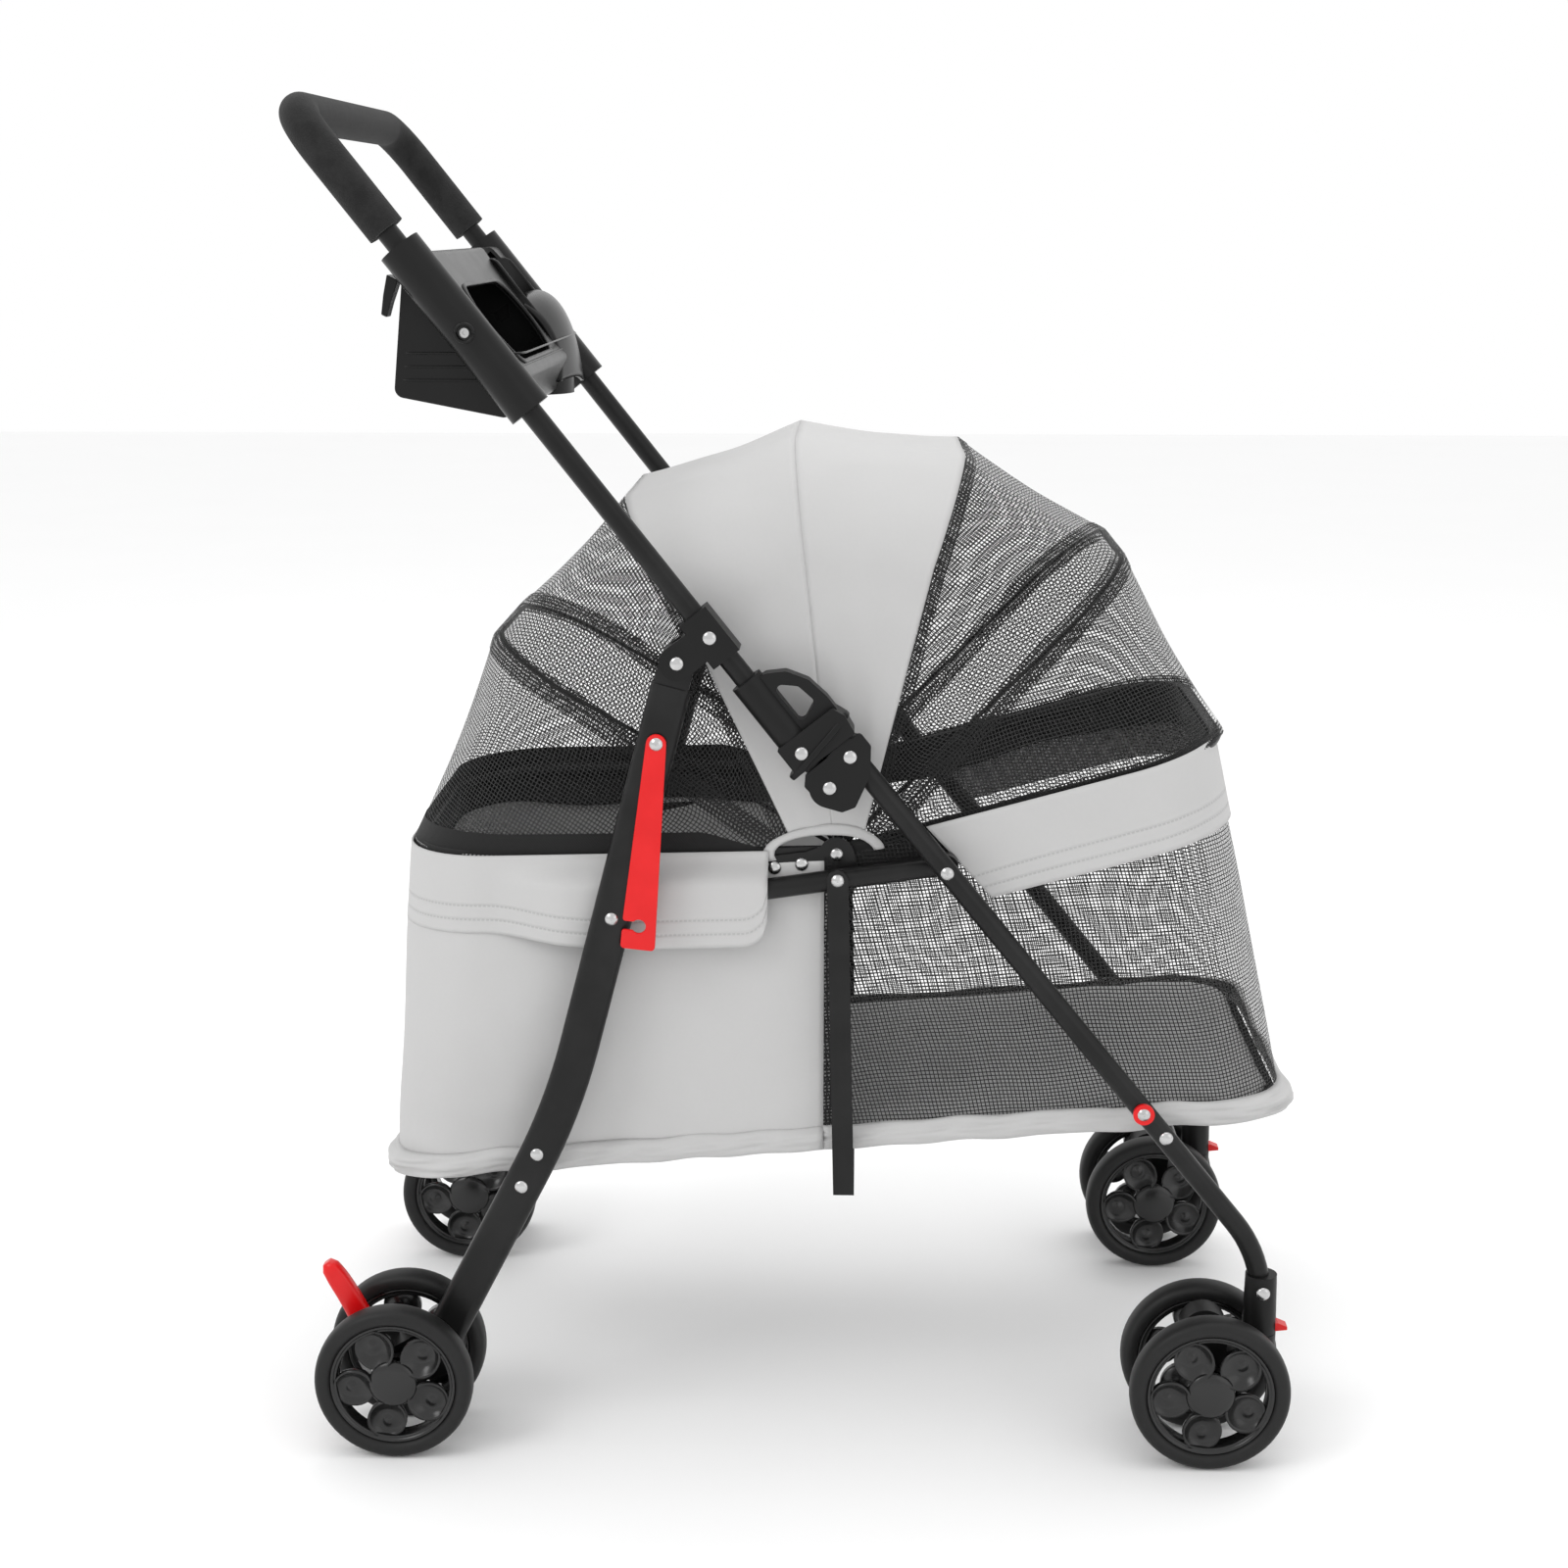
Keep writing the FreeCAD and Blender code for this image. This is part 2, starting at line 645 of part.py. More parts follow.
def u_path(angle, reach, plane, corner, start):
    """Out from the hub at one side, across, and back, with rounded corners."""
    near = step(hub, angle, start)
    far = step(hub, angle, reach)
    points = [vec(near[0], -plane, near[1]), vec(far[0], -plane, far[1]),
              vec(far[0], plane, far[1]), vec(near[0], plane, near[1])]
    return rounded_path(points, [corner, corner])


def hoop(name, layer):
    """Round tube with a flat tongue at each end, pinned at the hub."""
    angle = hoop_angle[name]
    path = u_path(angle, hoop_reach[name], hoop_plane, hoop_corner, tongue_length - 10)
    shape = tube(path, hoop_radius, hoop_wall)
    outer = hub_plane - hub_plate_depth - running - layer * eye_depth
    for side in sides.values():
        y_low = min(side * outer, side * (outer - eye_depth + running))
        y_high = max(side * outer, side * (outer - eye_depth + running))
        end = step(hub, angle, tongue_length)
        shape = fuse(shape, strip(hub, end, eye_radius, y_low, y_high, hoop_radius))
        shape = shape.cut(disc(hub, pin_radius + running, y_low - 20, y_high + 20))
    return shape


def bow(index, angle):
    """Wire bow of the canopy, in its own layer beside the others."""
    plane = hub_plane - hub_plate_depth - 2 * eye_depth - running - (index + 0.5) * bow_pitch
    shape = rod(u_path(angle, bow_reach, plane, bow_corner, eye_radius - 1), wire_radius)
    for side in sides.values():
        y = side * plane
        shape = fuse(shape, disc(hub, eye_radius, y - eye_depth / 2, y + eye_depth / 2))
        shape = shape.cut(disc(hub, pin_radius + running, y - eye_depth, y + eye_depth))
    return shape


def support_strap():
    """Flat steel bar that hangs from both links and passes under the floor."""
    outer = link_plane + tube_radius + 0.2 + strap_depth
    inner = outer - strap_depth
    low, high = strap_station - strap_width / 2, strap_station + strap_width / 2
    lean = strap_pivot[0] - strap_station
    shape = Part.makeBox(strap_width, 2 * outer, strap_depth, vec(low, -outer, strap_bottom))
    for side in sides.values():
        y_low = min(side * inner, side * outer)
        leg = plate([(low, strap_bottom), (high, strap_bottom), (high + lean, strap_pivot[1]),
                     (low + lean, strap_pivot[1])], y_low, y_low + strap_depth)
        shape = fuse(shape, leg, disc(strap_pivot, strap_width / 2, y_low, y_low + strap_depth))
        shape = shape.cut(disc(strap_pivot, pin_radius, y_low, y_low + strap_depth))
    return shape


# ---- soft goods ---------------------------------------------------------------------
cabin_top = 560.0
rear_flare = 0.063              # how far the ends lean in for each unit of height
front_flare = 0.216
mesh_start = 328.0


def cabin_body(inset):
    """The basket's outer form, inset by a thickness all round."""
    wires = []
    for z, corner in ((floor_height - 20, cabin_corner), (cabin_top, hoop_corner)):
        rise = z - floor_height
        rear = cabin_rear + rear_flare * rise + inset
        front = cabin_front - front_flare * rise - inset
        wires.append(rounded_plan(rear, front, cabin_half_width - inset, corner - inset, z))
    return Part.makeLoft(wires, True, True)


def cabin_band(low_offset, high_offset):
    """A slab that follows the floor's slope, between two heights above its underside."""
    ends = (-wide, cabin_front + wide)
    points = [(ends[0], floor_at(ends[0]) + low_offset), (ends[1], floor_at(ends[1]) + low_offset),
              (ends[1], floor_at(ends[1]) + high_offset), (ends[0], floor_at(ends[0]) + high_offset)]
    return plate(points, -wide, wide)


def under_hoops():
    """Everything above the floor's underside and below both hoops."""
    drop = hoop_radius + gap
    rear = step(hub, hoop_angle["rear"], 2 * wide, -drop)
    front = step(hub, hoop_angle["front"], 2 * wide, drop)
    middle = crossing(rear, hoop_angle["rear"], front, hoop_angle["front"])
    points = [(rear[0], floor_at(rear[0])), (front[0], floor_at(front[0])), front, middle, rear]
    return plate(points, -wide, wide)


def basket_walls():
    hub_room = hub_plate_room()
    walls = cabin_body(0).cut(cabin_body(cloth)).common(under_hoops()).cut(hub_room)
    rear_half = Part.makeBox(2 * wide, 2 * wide, 2 * wide, vec(mesh_start - 2 * wide, -wide, 0))
    return walls.common(rear_half), walls.cut(rear_half)


def hub_plate_room():
    """Space at the top of the side walls for the hub plates and their pins."""
    return fuse(disc(hub, 34.0, -wide, wide), strip(hub, (hub[0] - 60, hub[1] - 12), 20.0, -wide, wide))


def basket_floor():
    return cabin_body(cloth + gap).common(cabin_band(0, floor_thickness))


def canopy_cover():
    """Thin fan-shaped shell over the bows, turned about the hub's axis."""
    inner_y = hoop_plane + hoop_radius + gap
    inner_r = bow_reach + wire_radius + gap
    start = hoop_angle["front"] + 2.0
    sweep = hoop_angle["rear"] - 2.0 - start

    def section(half_width, reach, corner):
        turn = corner * (1 - math.sqrt(0.5))
        low = [vec(0, -half_width, 0), vec(0, -half_width, reach - corner)]
        low += [vec(0, turn - half_width, reach - turn), vec(0, corner - half_width, reach)]
        high = [vec(0, -point.y, point.z) for point in reversed(low)]
        edges = [
            Part.LineSegment(low[0], low[1]).toShape(),
            Part.Arc(low[1], low[2], low[3]).toShape(),
            Part.LineSegment(low[3], high[0]).toShape(),
            Part.Arc(high[0], high[1], high[2]).toShape(),
            Part.LineSegment(high[2], high[3]).toShape(),
            Part.LineSegment(high[3], low[0]).toShape(),
        ]
        return Part.Face(Part.Wire(edges))

    thick = 2.0
    outer = section(inner_y + thick, inner_r + thick, bow_corner)
    inner = section(inner_y, inner_r, bow_corner - thick)
    middle = vec(0, 0, 0)
    across = vec(0, 1, 0)
    shell = outer.revolve(middle, across, sweep).cut(inner.revolve(middle, across, sweep))
    shell = shell.cut(disc((0, 0), tongue_length + hoop_radius + 3, -wide, wide))
    shell.rotate(middle, across, 90 - hoop_angle["rear"] + 2.0)
    shell.translate(vec(hub[0], 0, hub[1]))
    return shell


# ---- wheels -------------------------------------------------------------------------
rim_radius = 48.0
cap_radius = 19.0
spoke_count = 5


def turned(points, centre, y):
    """A profile of (radius, offset along Y) pairs, turned about a wheel's axis."""
    wire = Part.makePolygon([vec(centre[0] + r, y + offset, centre[1]) for r, offset in points + [points[0]]])
    return Part.Face(wire).revolve(vec(centre[0], y, centre[1]), vec(0, 1, 0), 360)


def tyre(centre, y):
    half = wheel_width / 2
    near = [(rim_radius, 2 - half), (rim_radius + 1.5, -half), (rim_radius + 6, -half)]
    near += [(wheel_radius - 2.5, 3.5 - half), (wheel_radius - 0.6, 7 - half)]
    far = [(radius, -offset) for radius, offset in reversed(near)]
    return turned(near + [(wheel_radius, 0)] + far, centre, y)


def rim(centre, y, outwards):
    """Rim ring, five petal spokes and a hub closed by a cap on its outer side."""
    half = wheel_width / 2
    inner = rim_radius - 5
    near = [(inner, 3 - half), (rim_radius, 2 - half)]
    ring = turned(near + [(rim_radius, half - 2), (inner, half - 3)], centre, y)
    barrel = [(0, -half), (9, -half), (9, half - 5)]
    cap = [(cap_radius, half - 5), (cap_radius, half - 1.5), (cap_radius - 5, half), (0, half)]
    hub_body = turned(barrel + cap, centre, y)
    spokes = []
    for index in range(spoke_count):
        angle = 90 + index * 360 / spoke_count
        spokes.append(strip(step(centre, angle, 14), step(centre, angle, 33), 9.0, y - 2.5, y + 4.0, 12.0))
    body = fuse(ring, hub_body, *spokes)
    body = body.cut(disc(centre, axle_radius + running, y - half, y + half - 4))
    if outwards < 0:
        body = body.mirror(vec(centre[0], y, centre[1]), vec(0, 1, 0))
    return body


def axle(centre, y):
    half = (twin_spacing + wheel_width) / 2 - 5.0
    return disc(centre, axle_radius, y - half, y + half)


# ---- write every node ---------------------------------------------------------------
def write_rear_frame():
    feet = []
    axles = []
    rivets = []
    for name, side in sides.items():
        y = side * half_track
        leg = rear_leg(y)
        link_hole = disc(link_rear, pin_radius, y - leg_depth, y + leg_depth)
        put("rear_leg_" + name, leg.cut(link_hole))
        feet.append(rear_foot(y))
        axles.append(axle(axle_rear, y))
        face = side * (half_track + leg_depth / 2)
        reach = half_track + leg_depth / 2 - (link_plane - tube_radius)
        rivets.append(rivet(link_rear, face, side, reach))
        put("brake_pedal_" + name, brake_pedal(y))
    put("rear_feet", *feet)
    put("rear_axles", *axles)
    inner = half_track - leg_depth / 2
    put("rear_cross_tube", cross_tube(rear_cross, inner))
    latch_face = -half_track - leg_depth / 2
    head_face = latch_face - latch_gap - latch_depth - running
    rivets.append(rivet(latch_pivot, head_face, -1, latch_face - head_face))
    put("rear_rivets", *rivets)
    put("fold_latch", fold_latch(latch_face - latch_gap))


def write_handle():
    put("handle_tube", handle_tube())
    put("handle_grip", handle_grip())
    put("pivot_clamps", *[pivot_clamp(side * half_track) for side in sides.values()])
    put("cup_tray", cup_tray())
    put("tray_screws", *[tray_screw(side) for side in sides.values()])
    for name, side in sides.items():
        put("lock_sleeve_" + name, lock_sleeve(side * half_track))


def write_front_frame():
    rivets = []
    inner = half_track - tube_radius
    for name, side in sides.items():
        y = side * half_track
        face = side * (half_track + tube_radius)
        rivets.append(rivet(link_front, face, side, 2 * tube_radius))
        put("front_leg_" + name, front_leg(y).cut(disc(link_front, pin_radius, y - 20, y + 20)))
        put("swivel_lock_" + name, swivel_lock(y))
        put("caster_fork_" + name, caster_fork(y))
        put("front_axle_" + name, axle(axle_front, y))
    put("lock_brackets", *[lock_bracket(side * half_track) for side in sides.values()])
    put("leg_sockets", *[leg_socket(side * half_track) for side in sides.values()])
    put("front_cross_tube", cross_tube(front_cross, inner))
    ring_face = -half_track - tube_radius
    ring_depth = 3.0
    ring = disc(catch, 8.0, ring_face - ring_depth, ring_face)
    put("catch_ring", ring.cut(disc(catch, pin_radius, ring_face - ring_depth, ring_face)))
    rivets.append(rivet(catch, ring_face - ring_depth, -1, ring_depth))
    put("front_rivets", *rivets)


def write_seat_frame():
    put("side_links", *[side_link(side * link_plane) for side in sides.values()])
    put("hub_plates", *[hub_plate(side) for side in sides.values()])
    put("support_strap", support_strap())
    put("front_hoop", hoop("front", 1))
    put("rear_hoop", hoop("rear", 0))
    face = link_plane + tube_radius + 0.2 + strap_depth
    put("seat_rivets", *[rivet(strap_pivot, side * face, side, strap_depth) for side in sides.values()])
    fabric, mesh = basket_walls()
    put("basket_fabric", fabric)
    put("basket_mesh", mesh)
    put("basket_floor", basket_floor())
    put("canopy_cover", canopy_cover())
    for index, (name, angle) in enumerate(bow_angles.items()):
        put(name, bow(index, angle))


def write_wheels():
    for end, centre in (("rear", axle_rear), ("front", axle_front)):
        for name, side in sides.items():
            for place, outwards in (("outer", side), ("inner", -side)):
                y = side * half_track + outwards * twin_spacing / 2
                label = end + "_" + name + "_" + place
                put(label + "_tyre", tyre(centre, y))
                put(label + "_rim", rim(centre, y, outwards))


os.makedirs("parts", exist_ok=True)
write_rear_frame()
write_handle()
write_front_frame()
write_seat_frame()
write_wheels()
print("centre_x", centre_x)
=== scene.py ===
import bpy
import json
import math
import numpy as np
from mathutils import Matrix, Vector


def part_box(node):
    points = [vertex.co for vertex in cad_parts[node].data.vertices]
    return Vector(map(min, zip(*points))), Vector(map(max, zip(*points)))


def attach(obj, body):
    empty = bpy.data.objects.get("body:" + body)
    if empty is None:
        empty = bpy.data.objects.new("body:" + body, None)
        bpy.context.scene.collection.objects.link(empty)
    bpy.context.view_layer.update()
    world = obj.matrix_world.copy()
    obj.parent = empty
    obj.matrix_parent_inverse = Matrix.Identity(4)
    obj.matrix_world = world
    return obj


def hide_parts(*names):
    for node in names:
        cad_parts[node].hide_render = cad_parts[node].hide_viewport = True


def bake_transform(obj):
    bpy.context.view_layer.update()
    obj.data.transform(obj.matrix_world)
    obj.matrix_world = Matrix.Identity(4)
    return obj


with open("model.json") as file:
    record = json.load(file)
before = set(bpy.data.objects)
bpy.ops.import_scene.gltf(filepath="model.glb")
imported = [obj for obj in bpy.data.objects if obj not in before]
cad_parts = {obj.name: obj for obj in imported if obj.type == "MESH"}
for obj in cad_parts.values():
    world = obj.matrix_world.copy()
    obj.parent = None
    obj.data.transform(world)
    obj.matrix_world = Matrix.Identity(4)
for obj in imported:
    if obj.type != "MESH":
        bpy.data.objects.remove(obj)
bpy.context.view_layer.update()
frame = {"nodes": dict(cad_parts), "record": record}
record = frame["record"]
cadNodes = frame["nodes"]
jointAt = {j["name"]: j.get("pos_m") for j in record["behaviour"]["joints"]}
print("frame loaded,", len(cadNodes), "nodes")

hubX, hubZ = jointAt["canopy_fold"][0], jointAt["canopy_fold"][2]
rearAxleX = jointAt["rear_right_outer_spin"][0]     # side-view sizes are given from here
millimetre = 0.001


# ---- shader helpers
class Signal:
    # a value between two nodes; sums and products of signals add Math nodes
    def __init__(self, finish, socket):
        self.finish = finish
        self.socket = socket

    def math(self, operation, *values):
        return self.finish.node("ShaderNodeMath", {"operation": operation}, list(values))

    def __add__(self, other):
        return self.math("ADD", self, other)

    def __sub__(self, other):
        return self.math("SUBTRACT", self, other)

    def __rsub__(self, other):
        return self.math("SUBTRACT", other, self)

    def __mul__(self, other):
        return self.math("MULTIPLY", self, other)

    __radd__ = __add__
    __rmul__ = __mul__

    def fraction(self):
        return self.math("FRACT", self)

    def size(self):
        return self.math("ABSOLUTE", self)

    def sine(self):
        return self.math("SINE", self)

    def most(self, other):
        return self.math("MAXIMUM", self, other)

    def ramp(self, low, high, fromValue=0.0, toValue=1.0):
        # smooth step between two input values
        settings = {"interpolation_type": "SMOOTHSTEP", "clamp": True}
        return self.finish.node("ShaderNodeMapRange", settings, [self, low, high, fromValue, toValue])


class Finish:
    # one material with a Principled shader at its end
    def __init__(self, name, **fixed):
        self.material = bpy.data.materials.new(name)
        self.material.use_nodes = True
        self.tree = self.material.node_tree
        self.shader = self.tree.nodes["Principled BSDF"]
        for socketName, value in fixed.items():
            self.shader.inputs[socketName.replace("_", " ")].default_value = value

    def node(self, kind, settings, inputs, output=0):
        made = self.tree.nodes.new(kind)
        for key, value in settings.items():
            if key == "stops":
                for element, (place, colour) in zip(made.color_ramp.elements, value):
                    element.position = place
                    element.color = colour
            else:
                setattr(made, key, value)
        pairs = inputs.items() if isinstance(inputs, dict) else enumerate(inputs)
        for key, value in pairs:
            if value is None:
                continue
            if isinstance(value, Signal):
                self.tree.links.new(value.socket, made.inputs[key])
            else:
                made.inputs[key].default_value = value
        return Signal(self, made.outputs[output])

    def place(self):
        return self.node("ShaderNodeTexCoord", {}, [], "Object")

    def cloth(self):
        # along and across the cloth, in metres
        uv = self.node("ShaderNodeUVMap", {"uv_map": "cloth"}, [])
        split = self.node("ShaderNodeSeparateXYZ", {}, [uv])
        return split, Signal(self, split.socket.node.outputs[1])

    def noise(self, scale, detail=3.0, rough=0.55, at=None, output=0):
        inputs = {"Vector": at or self.place(), "Scale": scale, "Detail": detail, "Roughness": rough}
        return self.node("ShaderNodeTexNoise", {}, inputs, output)

    def mix(self, factor, first, second):
        inputs = {0: factor, 6: first, 7: second}
        return self.node("ShaderNodeMix", {"data_type": "RGBA"}, inputs, 2)

    def bump(self, height, distance, strength=1.0, under=None):
        inputs = {"Height": height, "Distance": distance, "Strength": strength, "Normal": under}
        return self.node("ShaderNodeBump", {}, inputs)

    def feed(self, **links):
        for socketName, value in links.items():
            self.tree.links.new(value.socket, self.shader.inputs[socketName.replace("_", " ")])
        return self.material


def grey(level, warm=0.0):
    return (level * (1 + warm), level, level * (1 - warm), 1.0)


# ---- finishes
paint = {"black": 0.007, "speck": 0.012, "grain": 900.0, "orange": 260.0}


def paintedTube():
    # satin powder coat: faint orange peel, slightly duller where hands rub
    finish = Finish("tubeBlack", Specular_IOR_Level=0.22, Coat_Roughness=0.25)
    wear = finish.noise(18.0, 4.0)
    peel = finish.noise(paint["orange"], 2.0)
    colour = finish.mix(wear.ramp(0.35, 0.75), grey(paint["black"]), grey(paint["speck"]))
    return finish.feed(
        Base_Color=colour,
        Roughness=wear * 0.14 + 0.27,
        Coat_Weight=wear.ramp(0.3, 0.7, 0.01, 0.06),
        Normal=finish.bump(peel, 0.00012, 0.5),
    )


def mouldedPlastic(name, level, rough, grain=1400.0, depth=0.00006, gloss=0.3):
    # spark-eroded grain with a soft mottle
    finish = Finish(name, Specular_IOR_Level=gloss)
    mottle = finish.noise(30.0, 4.0)
    skin = finish.noise(grain, 2.0)
    colour = finish.mix(mottle, grey(level), grey(level * 1.6))
    return finish.feed(
        Base_Color=colour,
        Roughness=mottle * 0.1 + rough,
        Normal=finish.bump(skin, depth, 0.6),
    )


def redPlastic():
    # see-through red moulding: deeper colour in broad patches, glossy skin
    finish = Finish("redPlastic", Specular_IOR_Level=0.3, Coat_Roughness=0.12)
    cloud = finish.noise(40.0, 3.0)
    colour = finish.mix(cloud, (0.60, 0.003, 0.004, 1), (0.76, 0.006, 0.008, 1))
    return finish.feed(
        Base_Color=colour,
        Roughness=cloud * 0.12 + 0.24,
        Coat_Weight=cloud.ramp(0.2, 0.8, 0.05, 0.15),
        Normal=finish.bump(finish.noise(220.0, 2.0), 0.0001, 0.3),
    )


def foamSleeve():
    # closed-cell foam: open pores and a dusty skin
    finish = Finish("foamGrey", Specular_IOR_Level=0.15, Sheen_Weight=0.06, Sheen_Roughness=0.6)
    pores = finish.node("ShaderNodeTexVoronoi", {"feature": "F1"}, {"Vector": finish.place(), "Scale": 900.0})
    dust = finish.noise(60.0, 5.0, 0.7)
    colour = finish.mix(dust.ramp(0.3, 0.7), grey(0.012), grey(0.022))
    return finish.feed(
        Base_Color=colour,
        Roughness=dust * 0.15 + 0.78,
        Normal=finish.bump(pores + dust * 0.8, 0.0003, 0.8),
    )


def tyreFoam():
    # smooth moulded tyre with fine turning marks
    finish = Finish("tyreBlack", Specular_IOR_Level=0.3)
    scuff = finish.noise(70.0, 5.0, 0.65)
    colour = finish.mix(scuff, grey(0.006), grey(0.013))
    return finish.feed(
        Base_Color=colour,
        Roughness=scuff * 0.16 + 0.42,
        Normal=finish.bump(finish.noise(600.0, 3.0), 0.0001, 0.5),
    )


def plainSteel():
    # zinc-plated rivet steel, drawn finely across
    finish = Finish("steel", Metallic=1.0)
    fine = finish.noise(1200.0, 2.0)
    tone = finish.mix(finish.noise(90.0), grey(0.42), grey(0.62))
    return finish.feed(
        Base_Color=tone,
        Roughness=fine * 0.15 + 0.16,
        Normal=finish.bump(fine, 0.00003, 0.4),
    )


cloth = {"pitch": 0.0007, "light": 0.53, "dark": 0.485, "warm": 0.004, "dash": 0.0034, "thread": 0.0005}


def wovenCloth(name, light, dark, warm=0.004, folds=1.0, seams=()):
    # plain weave with slubs; broad soft folds from the pattern's own noise; each seam is a
    # row of dashes at a set distance from the cloth's first edge
    finish = Finish(name, Specular_IOR_Level=0.25, Sheen_Weight=0.08, Sheen_Roughness=0.5)
    along, across = finish.cloth()
    turn = 2 * math.pi / cloth["pitch"]
    weave = (along * turn).sine() * (across * turn).sine()
    slub = finish.noise(420.0, 3.0, 0.6)
    tone = finish.noise(6.0, 3.0)
    colour = finish.mix(slub * 0.5 + tone * 0.5, grey(dark, warm), grey(light, warm))
    soft = finish.bump(finish.noise(8.0, 2.0, 0.45), 0.030 * folds, 0.45)
    fine = finish.bump(weave * 0.5 + slub * 0.6, 0.0002, 0.35, soft)
    for seam in seams:
        fromSeam = (across - seam).size()
        dash = (along * (1 / cloth["dash"])).fraction().ramp(0.60, 0.72, 1.0, 0.0)
        stitch = fromSeam.ramp(cloth["thread"], cloth["thread"] * 2, 1.0, 0.0)
        colour = finish.mix(stitch * dash * 0.30, colour, grey(dark * 0.45, warm))
        fine = finish.bump(fromSeam.ramp(0.0, 0.0022), 0.0010, 0.6, fine)
    return finish.feed(Base_Color=colour, Roughness=slub * 0.12 + 0.74, Normal=fine)


netting = {"pitch": 0.0030, "thread": 0.27, "edge": 0.05, "slack": 9.0, "drift": 0.012}


def meshCloth(name, thread, level=0.016):
    # square knitted net: threads run both ways and the rest is open; the threads drift a
    # little, as in a slack net
    finish = Finish(name, Specular_IOR_Level=0.15, Sheen_Weight=0.03, Sheen_Roughness=0.5)
    along, across = finish.cloth()
    drift = [finish.noise(netting["slack"], 1.0, 0.4) * netting["drift"], finish.noise(netting["slack"] * 1.3, 1.0, 0.4) * netting["drift"]]
    placed = [along + drift[0], across + drift[1]]
    fromThread = [(axis * (1 / netting["pitch"])).fraction() - 0.5 for axis in placed]
    nearest = fromThread[0].size().most(fromThread[1].size())
    start = 0.5 - thread / 2
    cover = nearest.ramp(start - netting["edge"], start + netting["edge"])
    colour = finish.mix(finish.noise(300.0, 2.0), grey(level), grey(level * 2.2))
    return finish.feed(
        Base_Color=colour,
        Roughness=finish.noise(500.0) * 0.2 + 0.5,
        Alpha=cover,
        Normal=finish.bump(cover, 0.0004, 0.6),
    )


def tapeCloth():
    # ribbed binding tape with a pale row of stitches near its lower edge
    finish = Finish("tapeBlack", Specular_IOR_Level=0.2, Sheen_Weight=0.05, Sheen_Roughness=0.5)
    along, across = finish.cloth()
    rib = (along * (2 * math.pi / 0.0012)).sine()
    fleck = finish.noise(500.0, 3.0)
    dash = (along * (1 / cloth["dash"])).fraction().ramp(0.45, 0.55, 1.0, 0.0)
    row = (across - 0.0035).size().ramp(0.0003, 0.0007, 1.0, 0.0)
    colour = finish.mix(fleck, grey(0.008), grey(0.018))
    colour = finish.mix(row * dash, colour, grey(0.45))
    return finish.feed(Base_Color=colour, Roughness=fleck * 0.15 + 0.6,
                       Normal=finish.bump(rib * 0.5 + fleck * 0.5, 0.0003, 0.5))


finishes = {
    "tube_black": paintedTube(),
    "plastic_black": mouldedPlastic("plasticBlack", 0.006, 0.36, gloss=0.2),
    "tray_black": mouldedPlastic("trayBlack", 0.007, 0.24, 1800.0, 0.00003, 0.2),
    "rim_black": mouldedPlastic("rimBlack", 0.006, 0.20, 1600.0, 0.00003, 0.5),
    "foam_grey": foamSleeve(),
    "red_plastic": redPlastic(),
    "steel": plainSteel(),
    "tyre_black": tyreFoam(),
    "fabric_grey": wovenCloth("clothGrey", cloth["light"], cloth["dark"]),
    "pad_grey": wovenCloth("padGrey", 0.46, 0.38, 0.004, 1.4),
    "mesh_black": meshCloth("meshBlack", netting["thread"]),
}
doubleMesh = meshCloth("meshDouble", 0.44, 0.010)
hemmed = wovenCloth("clothHemmed", cloth["light"], cloth["dark"], seams=(0.0105, 0.0215))
tape = tapeCloth()
lining = wovenCloth("liningBlack", 0.020, 0.013, 0.0, 0.6)
for entry in record["subparts"]:
    mesh = cadNodes[entry["node"]].data
    mesh.materials.clear()
    mesh.materials.append(finishes[entry["material_slot"]])
print("finishes made,", len(finishes))


# ---- surfaces
def smooth(value):
    clipped = np.clip(value, 0, 1)
    return clipped * clipped * (3 - 2 * clipped)


def sheet(name, grids, material, loop=False, flip=False):
    # rows by columns of points become quads; the cloth map holds real lengths along each
    # row and column, so patterns keep their size; several grids make one mesh
    points, quads, lengths = [], [], []
    start = 0
    for grid in grids if isinstance(grids, list) else [grids]:
        ring = np.concatenate([grid, grid[:, :1]], axis=1) if loop else grid
        rows, columns = ring.shape[:2]
        index = start + np.arange(rows * columns).reshape(rows, columns)
        faces = [index[:-1, :-1], index[:-1, 1:], index[1:, 1:], index[1:, :-1]]
        quads.append(np.stack(faces[::-1] if flip else faces, axis=-1).reshape(-1, 4))
        along = np.zeros((rows, columns))
        across = np.zeros((rows, columns))
        along[:, 1:] = np.cumsum(np.linalg.norm(np.diff(ring, axis=1), axis=2), axis=1)
        across[1:] = np.cumsum(np.linalg.norm(np.diff(ring, axis=0), axis=2), axis=0)
        along -= along[:, columns // 2:columns // 2 + 1]
        lengths.append(np.stack([along.reshape(-1), across.reshape(-1)], axis=1))
        points.append(ring.reshape(-1, 3))
        start += rows * columns
    mesh = bpy.data.meshes.new(name)
    mesh.from_pydata(np.concatenate(points).tolist(), [], np.concatenate(quads).tolist())
    corner = np.zeros(len(mesh.loops), dtype=np.int32)
    mesh.loops.foreach_get("vertex_index", corner)
    layer = mesh.uv_layers.new(name="cloth")
    layer.data.foreach_set("uv", np.concatenate(lengths)[corner].astype(np.float32).reshape(-1))
    mesh.polygons.foreach_set("use_smooth", np.ones(len(mesh.polygons), dtype=bool))
    mesh.materials.append(material)
    mesh.update()
    piece = bpy.data.objects.new(name, mesh)
    bpy.context.collection.objects.link(piece)
    return piece


def thicken(piece, thickness, offset=0.0):
    solid = piece.modifiers.new("thickness", "SOLIDIFY")
    solid.thickness = thickness
    solid.offset = offset
    solid.use_even_offset = True
    return piece


